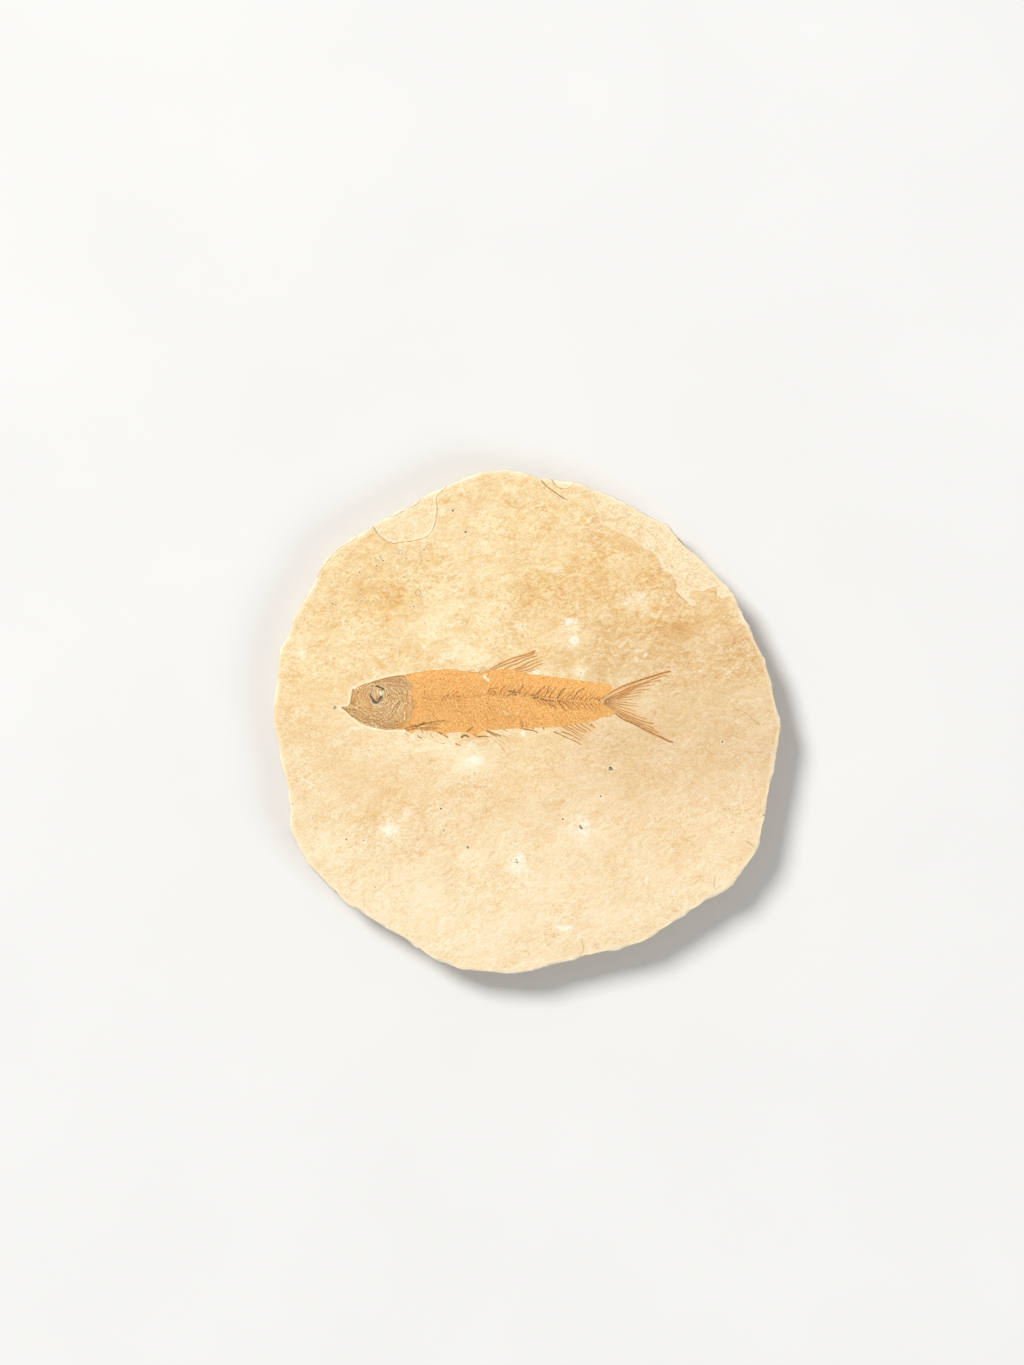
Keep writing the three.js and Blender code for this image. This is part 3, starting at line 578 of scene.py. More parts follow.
# Fin rays and other bones that make the outline: points, width at the start and at the end, relief in mm, tone (0 orange to 1 dark brown)
RAYS = [
    # tail, upper lobe
    ([(602, 699.4), (612, 691.6), (622, 686.6), (633.4, 682.3), (641.5, 679.4), (648.9, 677.1), (656.4, 674.8), (664.4, 672.3), (670.4, 671.0)], 1.8, 1.7, 0.16, 0.85),
    ([(604, 700), (616, 694), (628, 688.2), (637.5, 684.6), (643.8, 682.9), (653, 679.2), (659.9, 676.6), (664.4, 675.4), (668.6, 676.2)], 1.5, 0.8, 0.13, 0.7),
    ([(604, 700.3), (618, 694.6), (630, 689), (643.8, 683.9), (649.5, 682.2), (655.8, 681), (661.6, 680)], 1.4, 0.6, 0.12, 0.6),
    ([(604, 700.6), (617, 695.9), (630, 690.3), (639.8, 686.7), (648.9, 685.4), (655.3, 684.8)], 1.4, 0.6, 0.12, 0.6),
    ([(604, 700.8), (617, 696.9), (628, 692.4), (637.5, 690.2), (645.2, 689.4), (650, 689.2)], 1.4, 0.6, 0.12, 0.62),
    ([(604, 701), (618, 697.8), (628, 694.2), (636.3, 692.7), (642.6, 692.2)], 1.3, 0.6, 0.11, 0.6),
    ([(604, 701.2), (616, 699), (625.6, 697), (631, 696.8), (638.2, 695.4)], 1.3, 0.6, 0.11, 0.6),
    ([(604, 701.4), (615.3, 700.2), (624.4, 699.6), (630.6, 699.4), (634, 699)], 1.2, 0.5, 0.1, 0.5),
    ([(604, 701.8), (614, 701.6), (624, 702.2), (632.4, 703.6), (636.6, 703.6)], 1.2, 0.5, 0.1, 0.5),
    # tail, lower lobe
    ([(604, 702), (615, 703.2), (625.6, 704.8), (630, 705.2), (636.3, 706.2), (639.8, 707.2)], 1.3, 0.6, 0.11, 0.55),
    ([(604, 702.2), (615, 704.6), (625, 708), (632.5, 710.5), (635.6, 711.2)], 1.3, 0.6, 0.11, 0.6),
    ([(604, 702.6), (614, 706), (623.9, 710.7), (630, 712.9), (636.9, 715.9), (643.2, 718.2), (646, 718.8)], 1.4, 0.7, 0.12, 0.65),
    ([(604, 703), (614, 707.4), (622, 712.2), (630, 716.1), (637.5, 719.3), (644.4, 721.9), (650.1, 722.9), (653.6, 723.4)], 1.5, 1.1, 0.13, 0.65),
    ([(604, 703.4), (614, 708.8), (624, 715), (634, 720), (641.5, 723.4), (648.9, 726.2), (654.4, 728.8)], 1.5, 0.9, 0.13, 0.75),
    ([(603, 703.4), (613, 709.6), (623, 716.2), (633, 721.6), (641.5, 725.2), (647.2, 728), (653.5, 731), (659.9, 733.4)], 1.5, 0.8, 0.13, 0.8),
    ([(602, 703.6), (612, 710.6), (619.8, 716.9), (626.7, 720.6), (631.7, 722.6), (638.6, 726.2), (644.4, 729.2), (650.1, 732), (655.8, 734.6),
      (662.1, 737.7), (667.3, 740.4), (672.8, 742.2)], 1.8, 1.9, 0.16, 0.85),
    ([(645, 728), (652, 729.6), (657.6, 731.4)], 0.8, 0.6, 0.1, 0.55),
    # dorsal fin
    ([(486.8, 671.4), (491, 668.6), (500, 663.6), (507.7, 660.1), (512.8, 658.1), (519.8, 655.9), (526.8, 654.1), (533.8, 650.8), (535.9, 651)], 1.15, 1.0, 0.13, 0.7),
    ([(489.6, 671.2), (493, 669.5), (500, 666.3), (504.5, 664.4), (511.5, 662.1), (518.5, 659.1), (528.7, 655.5), (534.8, 652.4)], 1.15, 0.8, 0.13, 0.75),
    ([(500, 671), (503.8, 669.2), (511.5, 665.4), (517.6, 663.5), (523, 660.3), (528, 658.2), (537.6, 655.4)], 1.2, 0.6, 0.12, 0.62),
    ([(510, 671.4), (515.9, 668.6), (521, 666.3), (525.5, 663.8), (531.9, 660.9), (538.2, 658.8)], 1.2, 0.6, 0.12, 0.55),
    ([(514, 672), (517.9, 669.9), (525.5, 666.9), (530, 665.2), (535.7, 662.5), (541.5, 660.3)], 1.2, 0.6, 0.12, 0.5),
    ([(517, 673), (521, 671), (527.4, 670), (531.9, 668), (537, 665.4), (543.4, 663.4)], 1.2, 0.5, 0.11, 0.42),
    ([(522, 674.4), (527.6, 671.8), (532.6, 670.2), (538.4, 668)], 1.0, 0.4, 0.08, 0.3),
    ([(478.6, 673), (481.4, 669.6), (484.6, 665.8)], 0.7, 0.4, 0.08, 0.5), ([(481.4, 673), (485, 669), (488.2, 665.4)], 0.6, 0.3, 0.07, 0.4),
    ([(483.4, 673), (487.6, 669.4)], 0.7, 0.5, 0.08, 0.7), ([(468.4, 671.6), (472, 669.6), (476, 671.2)], 0.6, 0.4, 0.05, 0.45),
    # anal fin
    ([(554.2, 731.8), (561.1, 734.8), (568, 738.1), (574.9, 741.1), (581.2, 744.6)], 1.0, 0.8, 0.12, 0.7),
    ([(561.4, 731.7), (569.1, 734.1), (574.9, 736.9), (580.4, 740.2)], 1.0, 0.6, 0.12, 0.62),
    ([(558.4, 722.6), (563.9, 727.2), (569.1, 730), (576, 734.1), (583.2, 738.6)], 1.1, 0.5, 0.12, 0.6),
    ([(561.6, 723), (568, 727.2), (573.1, 729.8), (577.1, 732.4), (583.6, 735.8)], 1.1, 0.5, 0.12, 0.55),
    ([(567.6, 722.8), (573.7, 727), (579.4, 730.1), (586.4, 733.2)], 1.1, 0.5, 0.11, 0.5),
    ([(573, 722.6), (580.6, 728), (586.9, 731.4)], 1.1, 0.6, 0.11, 0.5),
    ([(579, 722.8), (584, 726), (590.8, 730.4)], 1.1, 0.7, 0.1, 0.45),
    ([(585.4, 722), (589, 724.8), (592.4, 726.6)], 0.8, 0.4, 0.07, 0.3),
    ([(591, 724.4), (593.2, 726.6), (595.3, 728)], 1.2, 0.8, 0.1, 0.85),
    # belly: broken scutes, pectoral and pelvic rays
    ([(417.6, 735.6), (419.6, 737.4), (422, 738)], 0.8, 0.7, 0.08, 0.9), ([(421.8, 731), (423.6, 734.2)], 0.6, 0.4, 0.06, 0.7),
    ([(430.1, 733.2), (431.4, 735.6), (432.8, 738)], 0.6, 0.5, 0.08, 0.85), ([(426.4, 731.6), (428.2, 734.6)], 0.5, 0.4, 0.06, 0.5),
    ([(437.6, 731.4), (442.2, 734), (447.7, 737.4)], 1.8, 0.8, 0.14, 0.85), ([(441.1, 742.9), (444.8, 743.8)], 0.5, 0.4, 0.05, 0.8),
    ([(424.4, 737.4), (427.4, 739.4)], 0.4, 0.4, 0.04, 0.6), ([(435, 741), (439.6, 742.8)], 0.4, 0.4, 0.04, 0.6), ([(455.8, 743.7), (460.9, 745.7)], 1.3, 0.8, 0.04, 0.25),
    ([(461.6, 737.2), (464.8, 735), (468.6, 737)], 1.8, 1.4, 0.13, 0.8), ([(466.4, 731.2), (469, 729.6), (472.4, 726.9)], 1.3, 0.8, 0.12, 0.8),
    ([(478, 736.8), (483, 736.2), (488.6, 736.6)], 1.1, 0.9, 0.12, 0.75), ([(484.2, 729.8), (491, 732.6), (500.6, 735.6)], 1.8, 1.0, 0.14, 0.75),
    ([(474, 733.8), (477, 736.6)], 2.6, 2.0, 0.1, 0.1), ([(490.4, 733.9), (497, 736.6)], 0.9, 0.7, 0.1, 0.7),
    ([(503, 729.2), (507.6, 731.2)], 0.8, 0.5, 0.08, 0.5), ([(519.8, 727.6), (525.4, 729.2), (533.2, 730.6), (537.8, 732.6)], 1.3, 0.8, 0.13, 0.9),
    ([(531, 727.4), (534.6, 729.2)], 0.8, 0.6, 0.1, 0.6), ([(542.6, 727.4), (544.4, 730.2)], 1.1, 0.6, 0.1, 0.8), ([(499, 736.4), (507, 740.6), (514, 745.4)], 0.5, 0.3, 0.03, 0.2),
    ([(497.6, 739.2), (503.6, 743), (509.4, 748)], 0.5, 0.3, 0.03, 0.2), ([(495, 741), (499.6, 745), (504.8, 750.2)], 0.5, 0.3, 0.03, 0.18), ([(503, 735.4), (511, 739.6), (517, 742.6)], 0.5, 0.3, 0.03, 0.2),
    ([(501, 748.6), (506, 751.4)], 0.5, 0.4, 0.03, 0.25), ([(405.6, 733.4), (408.2, 735.4)], 0.7, 0.5, 0.06, 0.5), ([(455.4, 669.2), (458.4, 670.4)], 0.6, 0.5, 0.05, 0.5),
]

rng = np.random.default_rng(20)
SPINE = curve([(421, 695.6), (436, 696.4), (450, 696.6), (466, 695.4), (480, 694.2), (492, 693.4), (506, 693.4), (520, 694.2), (534, 696.6), (546, 698.6),
               (560, 699.8), (576, 701), (590, 702.2), (601, 702.4)], 0.6)


def on_spine(u):
    """The point of the backbone at drawing position u, in drawing units."""
    x = SPINE[:, 0] * DPM + DU
    y = DV - SPINE[:, 1] * DPM
    return float(np.interp(u, x, y))


# Marks on the body: points, widths, strength, relief in mm, kind: b brown, d near black, p pale, g grey-brown
MARKS = []


def mark(points, w0, w1, strength, relief, kind):
    MARKS.append((points, w0, w1, strength, relief, kind))


step = 4.5
for n, u in enumerate(np.arange(423.5, 600, step)):
    v = on_spine(u)
    j = lambda a: float(rng.uniform(-a, a))
    rear = smooth(497, 512, u)
    worn = float(rng.uniform(0.35, 1.0))
    size = 1.0 - 0.35 * smooth(560, 600, u)
    # centrum: two flared ends and a waist
    s = (0.32 + 0.22 * rear - 0.10 * smooth(560, 590, u)) * (0.35 + 0.65 * worn)
    kind = "g" if rear > 0.5 and rng.random() < 0.35 else "b"
    mark([(u - 1.5, v - 2.1 * size + j(0.3)), (u - 1.0 + j(0.2), v), (u - 1.6, v + 2.0 * size + j(0.3))], 0.9, 0.8, s, 0.10, kind)
    mark([(u + 1.5, v - 2.0 * size + j(0.3)), (u + 1.1, v + j(0.3)), (u + 1.5, v + 2.1 * size)], 0.8, 0.8, s * 0.85, 0.10, kind)
    mark([(u - 1.2, v - 1.0 + j(0.4)), (u + 1.2, v - 0.8 + j(0.4))], 1.0, 1.0, s * 0.8, 0.07, kind)
    if rng.random() < 0.42:
        mark([(u + j(1.2), v + j(1.4)), (u + j(1.2) + 1.0, v + j(1.2))], 1.5, 1.1, s * 1.2, 0.08, kind)
    mark([(u, v - 0.2), (u, v + 0.4)], 1.6, 1.4, 0.06 + 0.08 * rear, 0.05, "p")
    # neural arch and spine
    lean = 5.4 + j(0.7) + 0.6 * rear
    tall = (9.2 + j(1.0)) * (1 - 0.25 * smooth(575, 600, u))
    su = (0.26 + 0.72 * rear) * (0.5 + 0.5 * float(rng.uniform(0.3, 1)))
    mark([(u - 0.6, v - 1.6), (u + 1.3, v - 4.2), (u + lean * 0.62, v - tall * 0.68), (u + lean, v - tall)], 1.05, 0.5, su, 0.07, "b")
    mark([(u - 0.8, v - 1.2), (u + 0.6, v - 3.6)], 1.2, 0.8, su * 0.6, 0.06, kind)
    if u > 500:
        mark([(u + 2.3, v - 3.6), (u + 2.3 + lean * 0.6, v - tall * 0.7), (u + 2.4 + lean, v - tall * 0.95)], 0.6, 0.4, 0.28 * float(rng.uniform(0.3, 1)), 0.03, "b")
        mark([(u + 1.1, v - 4), (u + 1.2 + lean * 0.6, v - tall * 0.72), (u + 1.4 + lean, v - tall * 0.98)], 0.7, 0.6, 0.8, 0.02, "l")
    # haemal spine behind, rib in front
    if u > 527:
        sh = 0.95 * float(rng.uniform(0.6, 1))
        mark([(u + 0.2, v + 1.8), (u + 2.6, v + 4.2), (u + 5.2, v + 7.2), (u + 7.4 + j(0.8), v + 9.6 + j(0.8))], 0.95, 0.5, sh, 0.07, "b")
        mark([(u + 2.4, v + 2.4), (u + 5.0, v + 5.6), (u + 8.8, v + 9.2)], 0.6, 0.4, 0.45 * float(rng.uniform(0.3, 1)), 0.03, "b")
        mark([(u + 1.3, v + 2.6), (u + 4.4, v + 6.2), (u + 7.6, v + 9.6)], 0.7, 0.6, 0.8, 0.02, "l")
    else:
        t = smooth(500, 533, u)
        end_v = 27 - 3 * t + j(1.2)
        bow = 9.5 + j(1.0)
        sr = 0.60 * float(rng.uniform(0.15, 1)) * (1.15 - 0.3 * t)
        for k, o in enumerate((0.0 + j(0.5), 1.5 + j(0.6), 3.0 + j(0.6))):
            f = (1.0, 0.62, 0.8)[k] * float(rng.choice([0.15, 0.5, 1.0])) * (0.55 + 0.45 * smooth(455, 500, u))
            mark([(u + o, v + 4 + j(0.5)), (u + o + 1.6, v + 9.5), (u + o + bow * 0.48, v + end_v * 0.62), (u + o + bow, v + end_v)], 0.75, 0.5, sr * f, 0.05 * f, "b")
        mark([(u + 0.8, v + 6), (u + 2.6, v + 11), (u + bow * 0.6, v + end_v * 0.7), (u + 0.8 + bow, v + end_v)], 0.7, 0.6, 0.6 * float(rng.uniform(0.2, 1)), 0.02, "l")

# bones that stiffen the fins, inside the body
for n, u in enumerate(np.arange(489, 526, 4.4)):
    mark([(u, 671.6 + 0.09 * (u - 489)), (u - 2.6, 677.6), (u - 4.2, 683.6)], 0.7, 0.4, 0.22 * float(rng.uniform(0.4, 1)), 0.05, "b")
for n, u in enumerate(np.arange(557, 590, 3.6)):
    mark([(u, 723.6 - 0.1 * (u - 557)), (u - 3.4, 717.6), (u - 6.0, 711.8)], 0.8, 0.4, 0.34 * float(rng.uniform(0.4, 1)), 0.05, "b")
# bent rib ends and scutes along the belly
for n, u in enumerate(np.arange(452, 545, 2.7)):
    v = 719 + 3 * math.sin(u * 0.11) + float(rng.uniform(-1.5, 1.5))
    lean = 1.6 * math.sin(u * 0.06 + 1.0)
    mark([(u, v - 5), (u + 1.6 + lean, v), (u + 1.2 + lean * 1.6, v + 5.5)], 0.7, 0.5, 0.30 * float(rng.uniform(0.2, 1)), 0.04, "b")
for n, u in enumerate(np.arange(455, 500, 3.0)):
    v0 = 707 + 0.36 * (u - 455)
    mark([(u - 6, v0 - 3.5), (u, v0), (u + 5.5, v0 + 5.5), (u + 9, v0 + 12)], 0.7, 0.5, 0.26 * float(rng.uniform(0.3, 1)), 0.04, "b")
for n, u in enumerate(np.arange(418, 446, 3.1)):
    mark([(u - 1, 702), (u + 3.4, 706.5), (u + 8.2, 714.2), (u + 10.5, 721)], 0.8, 0.5, 0.32 * float(rng.uniform(0.4, 1)), 0.05, "b")

# single marks seen on the body
for line, w, s, kind in [
    ([(424.4, 690.4), (424.8, 694.4)], 0.9, 0.5, "b"), ([(423.6, 697.6), (430, 699.4), (437, 699.6)], 0.8, 0.45, "b"), ([(441.6, 699.8), (444, 696.8)], 1.1, 0.6, "b"),
    ([(445.4, 698.4), (448, 694.6), (449.6, 693)], 0.9, 0.6, "b"), ([(450.6, 698.6), (453.4, 694.6)], 1.0, 0.6, "b"), ([(455, 692.6), (458.6, 692)], 1.0, 0.7, "b"),
    ([(455.8, 696.4), (460.6, 696.2)], 1.1, 0.55, "b"), ([(457, 700.2), (460, 700.8)], 0.9, 0.5, "b"), ([(463.6, 697.4), (468, 697.2)], 1.0, 0.3, "b"),
    ([(466.6, 691.2), (472.4, 690.4)], 0.9, 0.25, "b"), ([(476, 695), (480.6, 694.6)], 0.9, 0.3, "b"),
    ([(488.4, 692.6), (489.6, 689.6), (493, 688.2), (497.6, 687.8)], 1.0, 0.65, "b"), ([(490, 694.8), (492, 691.2), (495, 691.4), (495.4, 694), (492.6, 695)], 0.9, 0.6, "b"),
    ([(493.6, 692.6), (494.4, 693)], 1.2, 0.55, "g"), ([(499.6, 694.4), (501.6, 690), (505.4, 686)], 1.1, 0.6, "b"), ([(503.6, 695.6), (505.4, 692.4)], 1.2, 0.6, "b"),
    ([(507, 696.6), (510.6, 693.6), (514, 692.6)], 1.2, 0.6, "g"), ([(509.8, 691.4), (514.8, 690.6)], 1.1, 0.7, "g"), ([(512.2, 694.6), (517, 694.4)], 1.2, 0.6, "g"),
    ([(514.6, 692.2), (518, 692.4)], 1.3, 0.7, "g"), ([(519, 693.6), (520.8, 690), (523.8, 686.4)], 1.0, 0.65, "b"), ([(523, 696), (525.4, 693)], 1.2, 0.55, "b"),
    ([(531.2, 695.4), (534.6, 694.8)], 1.2, 0.6, "g"), ([(533.6, 697.4), (538.8, 697.2)], 1.4, 0.8, "g"), ([(537.8, 694.4), (541.2, 689.6), (545, 686.4)], 1.2, 0.8, "b"),
    ([(541.2, 698.8), (546.6, 700)], 1.4, 0.75, "g"), ([(545.6, 695.4), (547.6, 691), (549, 686.4)], 1.1, 0.75, "b"), ([(549.4, 697.4), (551.4, 692.6), (555.9, 687.6)], 1.0, 0.6, "b"),
    ([(548.6, 700.4), (553.8, 701)], 1.3, 0.75, "g"), ([(557.4, 698), (560.6, 692.6), (564.6, 688.4)], 1.2, 0.8, "g"), ([(557.6, 700.8), (562.8, 701.6)], 1.1, 0.7, "g"),
    ([(558.8, 701.9), (561.6, 706.4), (566.4, 711.2)], 1.1, 0.7, "b"), ([(545, 700.4), (549.4, 704), (555.4, 707.4)], 1.0, 0.7, "b"), ([(549.6, 701.4), (554, 705.6), (557, 709.6)], 0.9, 0.55, "b"),
    ([(564.5, 702.5), (569.4, 706.4), (573, 710.6)], 0.9, 0.55, "b"), ([(572.6, 703.4), (576, 706.6)], 0.9, 0.5, "b"), ([(590.4, 703.2), (595.4, 709.6)], 0.8, 0.4, "b"),
    ([(573.6, 698.8), (576.6, 694), (579.8, 690.4), (584, 688.6)], 1.1, 0.7, "g"), ([(567.6, 697.4), (570.6, 693.4), (574.6, 690.2)], 0.9, 0.5, "b"),
    ([(581, 698.6), (584.4, 695.2)], 0.9, 0.5, "b"), ([(589.6, 697.8), (594.8, 690.6)], 0.8, 0.4, "b"), ([(599.6, 700.6), (596.6, 698.6), (592, 698.4)], 0.8, 0.4, "b"),
    ([(567, 701.2), (569.4, 699.6)], 1.6, 0.4, "b"), ([(478.4, 672.2), (484, 671.6)], 1.1, 0.65, "b"), ([(471.6, 670.6), (476.4, 672.8)], 0.8, 0.45, "b"),
    # pectoral fin pressed over the flank
    ([(404.8, 728.6), (412, 726.8), (420, 725.2), (428, 723), (437, 721.4), (446, 720.6)], 0.9, 0.75, "g"), ([(406, 730.2), (414, 728.6), (424, 727.6), (437.6, 727)], 0.9, 0.6, "g"),
    ([(416.6, 726.8), (420.6, 724.4), (424.6, 722.4)], 1.4, 0.75, "g"), ([(424.6, 729.4), (432, 728.4), (438.6, 728)], 1.6, 0.35, "g"), ([(421, 724.2), (431.6, 722)], 1.2, 0.6, "g"),
    ([(409.4, 725.4), (416.2, 724.6)], 1.2, 0.5, "b"), ([(428.6, 724.8), (437.4, 723.6)], 2.6, 0.28, "g"), ([(422, 729.4), (429, 726.2)], 3.2, 0.3, "g"),
    ([(440, 722.4), (452, 720.2)], 0.6, 0.35, "b"), ([(436, 720.8), (442, 719.8), (450, 718.2)], 0.5, 0.3, "b"),
    # flank
    ([(508, 716.6), (513, 713.4)], 2.6, 0.22, "b"), ([(513.6, 719.4), (519, 716)], 2.2, 0.2, "b"), ([(520.2, 720.4), (522.4, 724.4), (520.6, 728.4)], 2.6, 0.28, "b"),
    ([(524.8, 720.4), (526.4, 725), (525.4, 728)], 1.2, 0.25, "b"), ([(500, 724), (512, 722.6)], 0.9, 0.2, "b"), ([(527, 711), (524, 713.4)], 1.6, 0.2, "b"),
    ([(455, 710), (461.6, 712.2), (468, 717.6), (476, 721)], 1.0, 0.35, "b"), ([(480, 711), (487, 717), (488, 724)], 1.0, 0.3, "b"),
    ([(567.4, 682.8), (567.9, 683.4)], 1.0, 0.6, "b"), ([(478, 697), (482, 701), (487, 703.6)], 0.9, 0.22, "b"), ([(505, 697), (509, 704.6)], 0.8, 0.25, "b"),
    ([(445, 675), (451, 674), (457, 676)], 1.0, 0.18, "b"), ([(428, 681), (440, 679), (452, 681.4)], 0.8, 0.14, "b"), ([(425, 706), (431, 712), (437, 719)], 0.9, 0.3, "b"),
    ([(467.4, 731), (472.6, 727)], 1.4, 0.7, "g"),
    ([(484.2, 676.2), (485.4, 677.8)], 3.0, 1.0, "p"), ([(487.2, 679.6), (488.4, 680.4)], 2.8, 1.0, "p"), ([(485.6, 673.4), (486.6, 674.6)], 1.2, 0.7, "p"), ([(489.8, 677.8), (490.2, 678.6)], 1.0, 0.7, "p"),
    ([(484.6, 692.2), (485.2, 692.9)], 1.8, 0.6, "p"), ([(484.2, 688.6), (484.6, 689.2)], 0.9, 0.5, "p"), ([(503.2, 711), (505.4, 712.6), (507.4, 714.6)], 1.1, 0.75, "p"),
    ([(517.4, 711.6), (517.8, 713.6)], 1.2, 0.85, "p"), ([(520.6, 709.4), (523.6, 708.8)], 0.8, 0.6, "p"), ([(523.4, 713.4), (524.4, 714.4)], 0.9, 0.6, "p"), ([(527.4, 672.6), (528.4, 673.4)], 1.7, 1.0, "p"),
]:
    if kind in "bg":
        w, s = w * 1.15, min(1.0, s * 1.35)
    mark(line, w, w * 0.75, s, 0.06 if kind != "p" else -0.04, kind)

